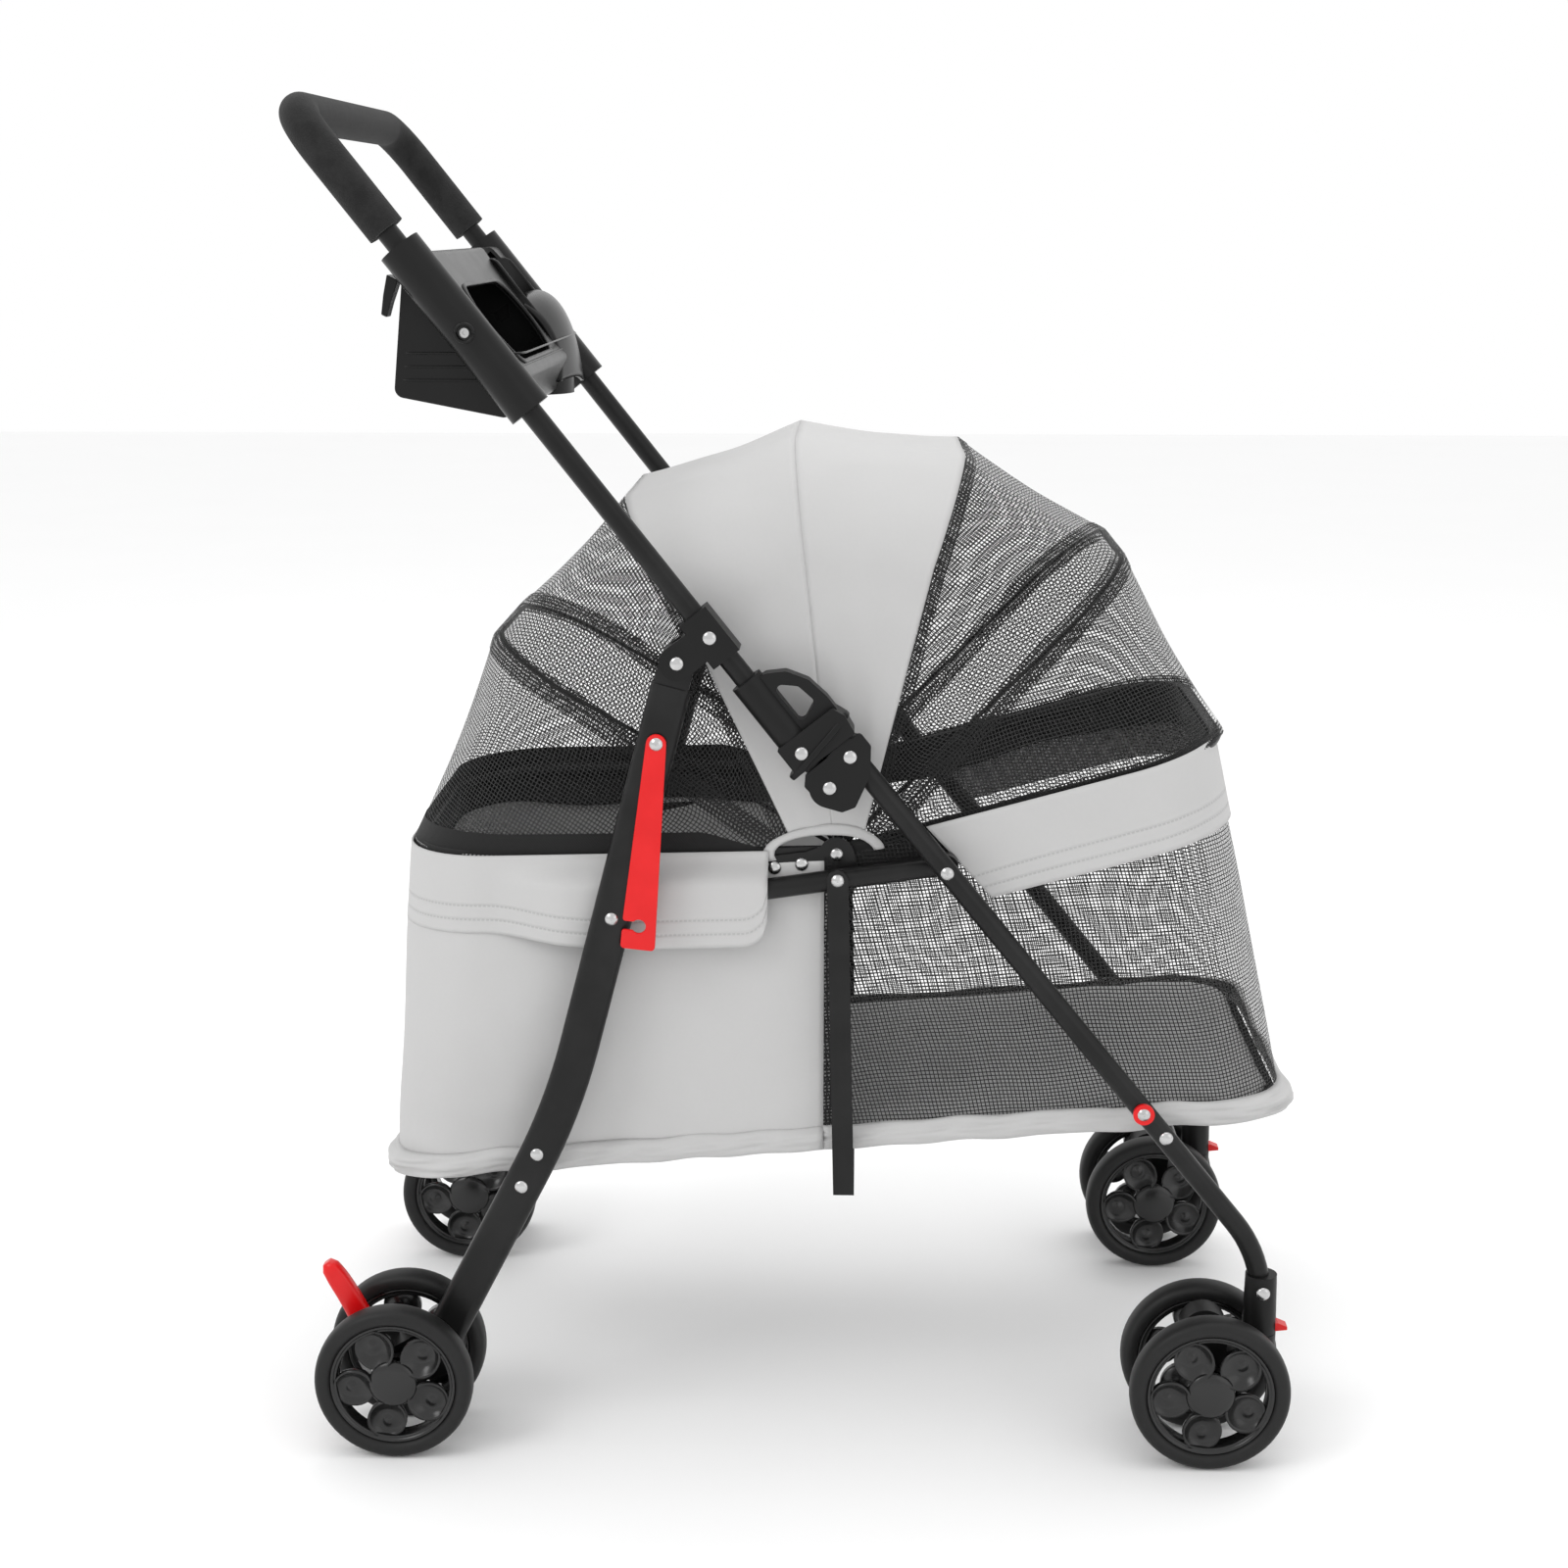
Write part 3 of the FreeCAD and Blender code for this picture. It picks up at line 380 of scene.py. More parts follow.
def outward(grid, distance):
    # every point moves along the surface's own normal, taken from its neighbours
    alongStep = np.gradient(grid, axis=1)
    acrossStep = np.gradient(grid, axis=0)
    normal = np.cross(alongStep, acrossStep)
    normal /= np.maximum(np.linalg.norm(normal, axis=2, keepdims=True), 1e-9)
    return grid + normal * np.asarray(distance)[..., None]


def ripple(u, v, seed, waves=7, low=1.0, high=5.0):
    # a sum of slanted sine waves with seeded directions and phases, about -1 to 1
    chance = np.random.default_rng(seed)
    total = np.zeros(np.broadcast(u, v).shape)
    for _ in range(waves):
        heading = chance.uniform(0, 2 * math.pi)
        rate = chance.uniform(low, high) * 2 * math.pi
        phase = chance.uniform(0, 2 * math.pi)
        total = total + np.sin(rate * (u * math.cos(heading) + v * math.sin(heading)) + phase)
    return total / waves


def piped(name, path, radius, material, loop=False, around=10):
    # a round tube: each ring is the path's point plus radius times two unit vectors
    # square to the path's direction
    path = np.asarray(path, float)
    ahead = np.roll(path, -1, axis=0) - np.roll(path, 1, axis=0) if loop else np.gradient(path, axis=0)
    ahead /= np.maximum(np.linalg.norm(ahead, axis=1, keepdims=True), 1e-9)
    level = np.array([0.03, 0.05, 1.0])
    first = np.cross(ahead, level)
    first /= np.maximum(np.linalg.norm(first, axis=1, keepdims=True), 1e-9)
    second = np.cross(ahead, first)
    turn = np.linspace(0, 2 * math.pi, around, endpoint=False)
    radius = np.broadcast_to(np.asarray(radius, float), len(path))[:, None, None]
    ring = np.cos(turn)[None, :, None] * first[:, None] + np.sin(turn)[None, :, None] * second[:, None]
    grid = path[:, None] + radius * ring
    if loop:
        grid = np.concatenate([grid, grid[:1]], axis=0)
    piece = sheet(name, grid, material, loop=True)
    weld(piece)
    return piece


def weld(piece):
    join = piece.modifiers.new("join", "WELD")
    join.merge_threshold = 1e-5
    return piece


def place(piece, slotName, body, *replaced):
    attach(piece, body)
    if replaced:
        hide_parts(*replaced)
    return piece


def lathe(profile, centre, outwards, columns=48, axis="y"):
    # each (radius, offset) pair turned about Y through centre: radius times cosine and sine,
    # and the offset along Y times outwards, which is 1 or -1
    profile = np.asarray(profile, float)
    turn = np.linspace(0, 2 * math.pi, columns, endpoint=False)
    radius = profile[:, :1]
    x = centre[0] + radius * np.cos(turn)
    z = centre[2] + radius * np.sin(turn) * outwards
    y = centre[1] + outwards * profile[:, 1:] + 0 * x
    return np.stack([x, y, z], axis=-1)


def rounded(low, high, steps, power=2.6):
    # a closed superellipse between two corners: half sizes times the signed power of the
    # cosine and sine
    turn = np.linspace(0, 2 * math.pi, steps + 1)
    cosine, sine = np.cos(turn), np.sin(turn)
    middle = [(a + b) / 2 for a, b in zip(low, high)]
    half = [(b - a) / 2 for a, b in zip(low, high)]
    first = middle[0] + half[0] * np.sign(cosine) * np.abs(cosine) ** (2 / power)
    second = middle[1] + half[1] * np.sign(sine) * np.abs(sine) ** (2 / power)
    return np.stack([first, second], axis=1)


def swept(path, inPlane, sideways, around=20, power=2.6):
    # a bar whose path lies in a side view: each ring is the path's point plus a superellipse,
    # inPlane wide square to the path and sideways wide along Y; both ends close to a point
    path = np.asarray(path, float)
    ahead = np.gradient(path, axis=0)
    ahead /= np.linalg.norm(ahead, axis=1, keepdims=True)
    square = np.stack([ahead[:, 2], 0 * ahead[:, 0], -ahead[:, 0]], axis=1)
    ring = rounded((-1, -1), (1, 1), around, power)[:-1]
    inPlane = np.broadcast_to(inPlane, len(path)).astype(float)[:, None, None]
    sideways = np.broadcast_to(sideways, len(path)).astype(float)[:, None, None]
    across = inPlane * ring[None, :, :1] * square[:, None]
    along = sideways * ring[None, :, 1:] * np.array([0.0, 1.0, 0.0])
    body = path[:, None] + across + along
    first = path[:1, None] + 0 * body[:1]
    last = path[-1:, None] + 0 * body[-1:]
    return np.concatenate([first, body, last], axis=0)


def cutOut(name, outline, yLow, yHigh, material, edge=0.0008):
    # a flat plate: the outline in the side view, given a thickness along Y and eased edges
    outline = np.asarray(outline, float)
    count = len(outline)
    points = np.concatenate([np.insert(outline, 1, y, axis=1) for y in (yLow, yHigh)])
    ahead = np.roll(np.arange(count), -1)
    walls = np.stack([np.arange(count), ahead, ahead + count, np.arange(count) + count], axis=1)
    faces = [list(range(count))[::-1], list(range(count, 2 * count))] + walls.tolist()
    mesh = bpy.data.meshes.new(name)
    mesh.from_pydata(points.tolist(), [], faces)
    mesh.materials.append(material)
    piece = bpy.data.objects.new(name, mesh)
    bpy.context.collection.objects.link(piece)
    ease = piece.modifiers.new("ease", "BEVEL")
    ease.width = edge
    ease.segments = 2
    ease.limit_method = "ANGLE"
    return piece


def stepFrom(start, degrees, along, aside=0.0):
    # a point in the side view, along a direction and aside to its right
    turn = math.radians(degrees)
    c, s = math.cos(turn), math.sin(turn)
    return (start[0] + along * c + aside * s, start[1] + along * s - aside * c)


# ---- canopy
canopy = {
    "plane": 0.1562,                # half width of the sides
    "corner": 0.080,
    "startFront": 0.032,            # the panels begin on an ellipse round the hub
    "startRear": 0.050,
    "startHigh": 0.018,
    "bow": 0.3062,
    "hoops": {"front": (15.5, 0.3070), "rear": (181.5, 0.3325)},
    "bows": {"front_bow": 45.0, "front_rib": 72.0, "ridge_bow": 96.3, "rear_rib": 122.0, "rear_bow": 150.0},
    "turned": ((15.5, 45.0, 72.0, 96.3, 122.0, 150.0, 181.5), (9.0, 20.0, 35.0, 100.0, 160.0, 172.0, 183.0)),
    "sideSteps": 26,
    "cornerSteps": 12,
    "topSteps": 24,
    "fanSteps": 24,
    "sag": 0.0035,
    "binding": 0.0095,
}


def bowProfile(reach, start=None):
    # out along one side, round a corner, across the top and back: radius and width
    begin = canopy["startFront"] if start is None else start
    plane, corner = canopy["plane"], canopy["corner"]
    side = np.linspace(begin, reach - corner, canopy["sideSteps"], endpoint=False)
    turn = np.linspace(0, math.pi / 2, canopy["cornerSteps"], endpoint=False)
    top = np.linspace(corner - plane, plane - corner, canopy["topSteps"])
    radius = np.concatenate([side, reach - corner + corner * np.sin(turn), np.full(len(top), reach)])
    width = np.concatenate([np.full(len(side), -plane), -plane + corner - corner * np.cos(turn), top])
    mirrorRadius = np.concatenate([reach - corner + corner * np.sin(turn)[::-1], side[::-1]])
    mirrorWidth = np.concatenate([plane - corner + corner * np.cos(turn)[::-1], np.full(len(side), plane)])
    return np.concatenate([radius, mirrorRadius]), np.concatenate([width, mirrorWidth])


def panelStart(angle):
    # radius of an ellipse at this angle, wider behind the hub than ahead of it
    tilt = math.radians(angle)
    wide = canopy["startFront"] if math.cos(tilt) > 0 else canopy["startRear"]
    return 1 / math.hypot(math.cos(tilt) / wide, math.sin(tilt) / canopy["startHigh"])


def bowLine(angle, reach):
    # each side runs straight from a point on the ellipse, at a turned angle, to where the
    # bow's corner begins
    turned = math.radians(np.interp(angle, *canopy["turned"]))
    start = panelStart(math.degrees(turned))
    radius, width = bowProfile(reach, start)
    tilt = math.radians(angle)
    fade = np.clip(1 - (radius - start) / (reach - canopy["corner"] - start), 0, 1)
    shift = start * (math.cos(turned) - math.cos(tilt)), start * (math.sin(turned) - math.sin(tilt))
    return np.stack([hubX + radius * math.cos(tilt) + fade * shift[0], width,
                     hubZ + radius * math.sin(tilt) + fade * shift[1]], axis=1)


def bowEdge(name):
    if name in canopy["hoops"]:
        return bowLine(*canopy["hoops"][name])
    return bowLine(canopy["bows"][name], canopy["bow"])


def fan(first, second, share, sag):
    # straight lines between matching points of two bows, pulled in a little midway;
    # share runs from 0 at the first bow to 1 at the second
    a, b = bowEdge(first), bowEdge(second)
    share = np.asarray(share)
    if share.ndim == 1:
        share = np.repeat(share[:, None], len(a), axis=1)
    grid = a[None] * (1 - share[..., None]) + b[None] * share[..., None]
    radius, width = bowProfile(canopy["bow"])
    high = smooth((radius - 0.08) / 0.15)
    pull = sag * np.sin(math.pi * share) * high[None]
    inward = np.stack([hubX - grid[..., 0], -0.35 * grid[..., 1], hubZ - grid[..., 2]], axis=-1)
    inward /= np.maximum(np.linalg.norm(inward, axis=-1, keepdims=True), 1e-9)
    return grid + inward * pull[..., None]


def panel(name, first, second, material, seed, wrinkle=0.0012):
    share = np.linspace(0, 1, canopy["fanSteps"])
    grid = fan(first, second, share, canopy["sag"])
    u = np.linspace(0, 4, grid.shape[1])[None]
    v = share[:, None]
    held = np.sin(math.pi * share)[:, None]
    grid = outward(grid, -wrinkle * held * ripple(u, v, seed, 9, 0.6, 3.0))
    return sheet(name, grid, material)


def binding(name, first, second, material, width=None, lift=0.0008):
    # a strip on one panel along its first bow
    width = width or canopy["binding"]
    gap = np.linalg.norm(bowEdge(second) - bowEdge(first), axis=1)
    limit = np.clip(width / np.maximum(gap, 1e-6), 0, 0.48)
    share = np.linspace(0, 1, 5)[:, None] * limit[None]
    grid = fan(first, second, share, canopy["sag"])
    outSign = 1 if canopyAngle(first) < canopyAngle(second) else -1
    grid = outward(grid, np.full(grid.shape[:2], lift * outSign))
    return sheet(name, grid, material)


def canopyAngle(name):
    if name in canopy["hoops"]:
        return canopy["hoops"][name][0]
    return canopy["bows"][name]


# name, from, to, finish, moving bodies
canopyPanels = [
    ("canopyFrontMesh", "front", "front_bow", "mesh_black", "seat_frame", "front_bow"),
    ("canopyBrowMesh", "front_bow", "front_rib", "mesh_black", "front_bow", "front_rib"),
    ("canopyClothFront", "front_rib", "ridge_bow", "fabric_grey", "front_rib", "ridge_bow"),
    ("canopyClothRear", "ridge_bow", "rear_rib", "fabric_grey", "ridge_bow", "rear_rib"),
    ("canopyBackMesh", "rear_rib", "rear_bow", "mesh_black", "rear_rib", "rear_bow"),
    ("canopyRearMesh", "rear_bow", "rear", "mesh_black", None, None),
]


def between(angleA, angleB, reach=0.25):
    # two points in the side view, one on each bow
    points = []
    for angle in (angleA, angleB):
        tilt = math.radians(angle)
        points.append((hubX + reach * math.cos(tilt), 0.0, hubZ + reach * math.sin(tilt)))
    return points


for count, (name, first, second, slotName, bodyA, bodyB) in enumerate(canopyPanels):
    piece = panel(name, first, second, finishes[slotName], 40 + count, 0.0018 if "Cloth" in name else 0.0010)
    if slotName == "fabric_grey":
        thicken(piece, 0.0009)
    if bodyA:
        start, end = between(canopyAngle(first), canopyAngle(second))
        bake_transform(piece)
    else:
        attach(piece, "rear_bow")
    if name == "canopyClothFront":
        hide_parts("canopy_cover")

bindings = [
    ("bindFrontBowLow", "front_bow", "front", "front_bow"),
    ("bindFrontBowHigh", "front_bow", "front_rib", "front_bow"),
    ("bindFrontRib", "front_rib", "front_bow", "front_rib"),
    ("bindRearRib", "rear_rib", "rear_bow", "rear_rib"),
    ("bindRearBowHigh", "rear_bow", "rear_rib", "rear_bow"),
    ("bindRearBowLow", "rear_bow", "rear", "rear_bow"),
    ("bindFrontEdge", "front", "front_bow", "seat_frame"),
]
for name, first, second, body in bindings:
    strip = binding(name, first, second, doubleMesh)
    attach(strip, body)
zipTape = binding("zipTape", "rear", "rear_bow", tape, 0.022)
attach(zipTape, "rear_bow")

# fold-over tape round the opening at the hub, one arch on each side
arch = {"width": 0.0080, "out": 0.0012, "steps": 40, "low": 8.0, "high": 186.0}


def archGrid(half):
    # points on the panels' starting ellipse, grown outwards by the tape's width
    angles = np.linspace(arch["low"], arch["high"], arch["steps"])
    starts = np.array([panelStart(angle) for angle in angles])
    tilt = np.radians(angles)
    rows = []
    for share in np.linspace(-0.35, 0.65, 5):
        radius = starts + share * arch["width"]
        out = canopy["plane"] + arch["out"] + 0.0012 * math.cos(share * math.pi)
        rows.append(np.stack([hubX + radius * np.cos(tilt), half * out + 0 * tilt, hubZ + radius * np.sin(tilt)], axis=1))
    return np.stack(rows)


for sideName, half in (("Right", -1), ("Left", 1)):
    archTape = thicken(sheet("hubTape" + sideName, archGrid(half), finishes["fabric_grey"], flip=half < 0), 0.0012)
    place(archTape, "fabric_grey", "seat_frame")
print("canopy made")


# ---- basket
basket = {
    "floor": 0.204,                 # underside above the rear axle
    "slope": 0.085,
    "rear": -0.008,
    "front": 0.697,
    "rearFlare": 0.063,
    "frontFlare": 0.216,
    "halfWidth": 0.1575,
    "cornerLow": 0.045,
    "cornerHigh": 0.070,
    "split": 0.328,
    "rows": 40,
    "sideSteps": 60,
    "cornerSteps": 12,
    "endSteps": 30,
}


def hoopHeight(x):
    # the upper edge: the rear hoop's line behind the hub, the front hoop's ahead of it
    lines = []
    for name in ("rear", "front"):
        angle, reach = canopy["hoops"][name]
        lines.append((x - hubX) * math.tan(math.radians(angle)) + hubZ)
    return np.where(x < hubX, lines[0], lines[1])


def floorHeight(x):
    return basket["floor"] + basket["slope"] * (x - rearAxleX)


def ringPlan(z, parts, extra=0.0):
    # a rounded rectangle seen from above whose ends lean in with height; parts is not
    # used
    rise = z - basket["floor"]
    rear = rearAxleX + basket["rear"] + basket["rearFlare"] * rise - extra
    front = rearAxleX + basket["front"] - basket["frontFlare"] * rise + extra
    half = basket["halfWidth"] + extra
    corner = basket["cornerLow"] + (basket["cornerHigh"] - basket["cornerLow"]) * np.clip(rise / 0.3, 0, 1) + extra
    return rear, front, half, corner


def ringPoint(share, z, half, kind, extra=0.0):
    # kind names one piece of the outline; share runs 0 to 1 along it
    rear, front, halfWidth, corner = ringPlan(z, None, extra)
    split = rearAxleX + basket["split"]
    turn = share * math.pi / 2
    if kind == "sideRear":
        return split + (rear + corner - split) * share, half * halfWidth + 0 * share * corner
    if kind == "sideFront":
        return split + (front - corner - split) * share, half * halfWidth + 0 * share * corner
    if kind == "cornerRear":
        return rear + corner - corner * np.sin(turn), half * (halfWidth - corner + corner * np.cos(turn))
    if kind == "cornerFront":
        return front - corner + corner * np.sin(turn), half * (halfWidth - corner + corner * np.cos(turn))
    if kind == "endRear":
        return rear + 0 * share, (1 - 2 * share) * half * (halfWidth - corner)
    return front + 0 * share, (1 - 2 * share) * half * (halfWidth - corner)


def pushed(end, grid, distance):
    # outwards from the basket, whichever way the grid runs
    return outward(grid, np.asarray(distance) * (1 if end == "Front" else -1))


def wallSheet(name, end, grid, material):
    return sheet(name, grid, material, flip=end == "Rear")


def wallGrid(end, lowOf, highOf, extra=0.0, rows=None, bulge=None):
    # half of the basket's wall, from the split on the right, round one end, to the
    # split on the left; lowOf and highOf give the heights of its edges for each x
    rows = rows or basket["rows"]
    pieces = [("side" + end, -1, basket["sideSteps"]), ("corner" + end, -1, basket["cornerSteps"]),
              ("end" + end, -1, basket["endSteps"]), ("corner" + end, 1, basket["cornerSteps"]),
              ("side" + end, 1, basket["sideSteps"])]
    level = np.linspace(0, 1, rows)[:, None]
    columns = []
    for order, (kind, half, steps) in enumerate(pieces):
        share = np.linspace(0, 1, steps, endpoint=order == len(pieces) - 1)
        if order >= 3:
            share = 1 - share
        share = share[None]
        z = np.full((rows, steps), 0.33)
        for _ in range(4):
            x, y = ringPoint(share, z, half, kind, extra)
            z = lowOf(x) * (1 - level) + highOf(x) * level
        x, y = ringPoint(share, z, half, kind, extra)
        columns.append(np.stack([x + 0 * z, y + 0 * z, z], axis=-1))
    grid = np.concatenate(columns, axis=1)
    if bulge is not None:
        grid = pushed(end, grid, bulge(grid, level))
    return grid


def softBulge(seed, depth):
    def amount(grid, level):
        u = np.linspace(0, 6, grid.shape[1])[None]
        held = np.sin(math.pi * np.clip(level, 0, 1)) ** 0.7
        return depth * held * (0.35 + ripple(u, level, seed, 9, 0.3, 1.6))
    return amount


hoopDrop = 0.002


def wallTop(x):
    return hoopHeight(x) - hoopDrop


clothWall = wallSheet("basketCloth", "Rear", wallGrid("Rear", floorHeight, wallTop, 0.0, None, softBulge(11, 0.0075)),
                      finishes["fabric_grey"])
thicken(clothWall, 0.0010)
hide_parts("basket_fabric")
meshWall = wallSheet("basketNet", "Front", wallGrid("Front", floorHeight, wallTop, 0.0, None, softBulge(12, 0.0036)),
                 finishes["mesh_black"])
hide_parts("basket_mesh")
for piece in (clothWall, meshWall):
    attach(piece, "seat_frame")

# ---- flaps that hang over the hoops
rearFlapSize = {
    "drop": 0.056,
    "end": 0.286,                   # ahead of the rear axle
    "corner": 0.020,
    "rows": 22,
    "linkOut": 0.0163,              # how far it stands out over the side link
    "wave": 0.0016,
}
frontFlapSize = {"drop": 0.064, "end": 0.404, "slant": 0.050, "rows": 18, "wave": 0.0012}


def flapLowRear(x):
    # below the hoop by the drop, deeper towards the free end, whose corner is a quarter circle
    reach = x - rearAxleX
    size = rearFlapSize
    fromCorner = np.clip((reach - size["end"] + size["corner"]) / size["corner"], 0, 1)
    lift = size["corner"] * (1 - np.sqrt(1 - fromCorner ** 2))
    return hoopHeight(x) - size["drop"] - 0.010 * smooth((reach - 0.06) / 0.12) + lift


def flapLowFront(x):
    return hoopHeight(x) - frontFlapSize["drop"]


def flapTop(x):
    return hoopHeight(x) + 0.004


def flapGrid(end, lowOf, rows, extra, stopAt, slant=0.0):
    # the wall's grid with its side columns slid so that the flap stops at a given x, each
    # row's height worked out again between the flap's lower and upper edges
    grid = wallGrid(end, lowOf, flapTop, extra, rows)
    split = rearAxleX + basket["split"]
    level = np.linspace(0, 1, rows)[:, None]
    far = rearAxleX + (0.07 if end == "Rear" else 0.55)
    stop = rearAxleX + stopAt + slant * (1 - level)
    x = grid[..., 0]
    inside = (x > far) if end == "Rear" else (x < far)
    grid[..., 0] = np.where(inside, far + (x - far) * (stop - far) / (split - far), x)
    low, high = lowOf(grid[..., 0]), flapTop(grid[..., 0])
    grid[..., 2] = low + level * (high - low)
    return grid


def rearFlapOut(grid):
    # a smooth step over the side link, which starts below the hoop and lasts to the hem
    x, z = grid[..., 0], grid[..., 2]
    onSide = smooth((np.abs(grid[..., 1]) - 0.13) / 0.02)
    along = smooth((x - rearAxleX - 0.075) / 0.06)
    down = smooth((hoopHeight(x) - z) / 0.018)
    level = np.linspace(0, 1, grid.shape[0])[:, None]
    wave = ripple(np.linspace(0, 5, grid.shape[1])[None], level, 21, 7, 0.4, 1.5)
    free = 1 - along * onSide
    return rearFlapSize["linkOut"] * along * onSide * down + rearFlapSize["wave"] * (1 - level) * (0.6 + wave) * free


rearGrid = flapGrid("Rear", flapLowRear, rearFlapSize["rows"], 0.0022, rearFlapSize["end"])
rearGrid = pushed("Rear", rearGrid, rearFlapOut(rearGrid))
rearFlap = thicken(wallSheet("rearFlap", "Rear", rearGrid, hemmed), 0.0012)
frontGrid = flapGrid("Front", flapLowFront, frontFlapSize["rows"], 0.0026, frontFlapSize["end"], frontFlapSize["slant"])
level = np.linspace(0, 1, frontFlapSize["rows"])[:, None]
wave = ripple(np.linspace(0, 5, frontGrid.shape[1])[None], level, 22, 7, 0.4, 1.5)
frontGrid = pushed("Front", frontGrid, frontFlapSize["wave"] * (1 - level) * (0.8 + wave))
frontFlap = thicken(wallSheet("frontFlap", "Front", frontGrid, hemmed), 0.0012)
for flap in (rearFlap, frontFlap):
    place(flap, "fabric_grey", "seat_frame")

# black facing inside both flaps, seen across the cabin through the net
facing = {"drop": 0.030, "in": -0.0045, "rows": 10}


def facingLow(x):
    return hoopHeight(x) - facing["drop"] + 0.003 * np.sin((x - rearAxleX) * 40)


def facingTop(x):
    return hoopHeight(x) + 0.006


for end in ("Rear", "Front"):
    inner = wallGrid(end, facingLow, facingTop, facing["in"], facing["rows"])
    place(thicken(wallSheet("facing" + end, end, inner, lining), 0.0012), "mesh_black", "seat_frame")

# folded edge of the net where it meets the cloth
joinTape = {"width": 0.016, "lean": 0.010, "out": 0.0014}


def joinGrid(half):
    # a narrow upright strip just ahead of the join, wider towards the floor
    level = np.linspace(0, 1, 30)[:, None]
    share = np.linspace(0, 1, 5)[None]
    split = rearAxleX + basket["split"]
    x = split + share * joinTape["width"] * (1 - 0.3 * level) + 0 * level
    z = floorHeight(x) + level * (wallTop(x) - floorHeight(x))
    y = half * (basket["halfWidth"] + joinTape["out"]) + 0 * x
    return np.stack([x, y, z], axis=-1)


for sideName, half in (("Right", -1), ("Left", 1)):
    place(sheet("joinTape" + sideName, joinGrid(half), doubleMesh), "mesh_black", "seat_frame")
print("basket made")

# ---- hem round the floor
hem = {"height": 0.016, "out": 0.0042, "corner": 0.0085, "wave": 0.75}


def hemGrid(end):
    # a soft roll below the wall: half a circle stood out from the wall, fuller at the
    # corners, gathered by a sum of short waves
    base = wallGrid(end, lambda x: floorHeight(x) - 0.003, lambda x: floorHeight(x) + hem["height"], 0.0010, 14)
    level = np.linspace(0, 1, base.shape[0])[:, None]
    u = np.linspace(0, 6, base.shape[1])[None]
    roundness = np.sqrt(np.clip(1 - (2 * level - 1) ** 2, 0, 1))
    ends = [base[..., 0].min(), base[..., 0].max()]
    nearEnd = smooth(1 - (ends[1] - base[..., 0]) / 0.07) if end == "Front" else smooth(1 - (base[..., 0] - ends[0]) / 0.07)
    corner = nearEnd * smooth((np.abs(base[..., 1]) - 0.09) / 0.06)
    wave = ripple(u, level, 31 if end == "Rear" else 32, 10, 1.0, 5.0)
    swollen = pushed(end, base, (hem["out"] + hem["corner"] * corner) * roundness * (1 + hem["wave"] * wave))
    swollen[..., 2] += 0.0040 * ripple(u, 0 * level, 33, 8, 0.8, 3.2) - 0.002 * corner
    return swollen


for end in ("Rear", "Front"):
    place(thicken(wallSheet("hem" + end, end, hemGrid(end), finishes["fabric_grey"]), 0.0012), "fabric_grey", "seat_frame")

# ---- floor pad
pad = {"thickness": 0.012, "inset": 0.006, "pressure": 3.0, "cap": 0.005, "voxel": 0.006, "frames": 16}


def padForm():
    # a flat slab with round edges: each ring is the plan outline shrunk by a quarter circle
    turn = np.linspace(-math.pi / 2, math.pi / 2, 9)
    rings = []
    for angle in turn:
        inset = pad["inset"] + pad["thickness"] / 2 * (1 - math.cos(angle))
        height = pad["thickness"] / 2 * (1 + math.sin(angle)) + 0.002
        halves = [wallGrid(end, floorHeight, floorHeight, -inset, 2)[:1] for end in ("Rear", "Front")]
        ring = np.concatenate([halves[0][:, :-1], halves[1][:, ::-1][:, :-1]], axis=1)
        ring[..., 2] += height
        rings.append(ring)
    return np.concatenate(rings, axis=0)


grid = padForm()
centreLow, centreHigh = grid[:1].mean(axis=1, keepdims=True), grid[-1:].mean(axis=1, keepdims=True)
lowCap = [centreLow + (grid[:1] - centreLow) * share for share in (0.0, 0.25, 0.5, 0.75)]
highCap = [centreHigh + (grid[-1:] - centreHigh) * share for share in (0.75, 0.5, 0.25, 0.0)]
grid = np.concatenate(lowCap + [grid] + highCap, axis=0)
floorPad = weld(sheet("floorPad", grid, finishes["pad_grey"], loop=True, flip=True))


def swell(piece, size):
    # blown up a little by the cloth solver; each point's move is held under a cap
    bpy.context.view_layer.objects.active = piece
    remesh = piece.modifiers.new("remesh", "REMESH")
    remesh.mode = "VOXEL"
    remesh.voxel_size = size["voxel"]
    for modifier in [m.name for m in piece.modifiers]:
        bpy.ops.object.modifier_apply(modifier=modifier)
    count = len(piece.data.vertices)
    before = np.zeros(count * 3, dtype=np.float32)
    piece.data.vertices.foreach_get("co", before)
    solver = piece.modifiers.new("cloth", "CLOTH")
    solver.settings.use_pressure = True
    solver.settings.uniform_pressure_force = size["pressure"]
    solver.settings.effector_weights.gravity = 0
    solver.settings.quality = 5
    scene = bpy.context.scene
    for count in range(1, size["frames"] + 1):
        scene.frame_set(count)
    blown = piece.evaluated_get(bpy.context.evaluated_depsgraph_get()).to_mesh()
    after = np.zeros(len(before), dtype=np.float32)
    blown.vertices.foreach_get("co", after)
    piece.modifiers.clear()
    move = (after - before).reshape(-1, 3)
    far = np.linalg.norm(move, axis=1, keepdims=True)
    held = move * np.minimum(1, size["cap"] / np.maximum(far, 1e-9))
    piece.data.vertices.foreach_set("co", (before.reshape(-1, 3) + held).reshape(-1).astype(np.float32))
    piece.data.update()
    scene.frame_set(1)
    finer = piece.modifiers.new("finer", "SUBSURF")
    finer.levels = 1
    finer.render_levels = 1
    piece.data.polygons.foreach_set("use_smooth", np.ones(len(piece.data.polygons), dtype=bool))


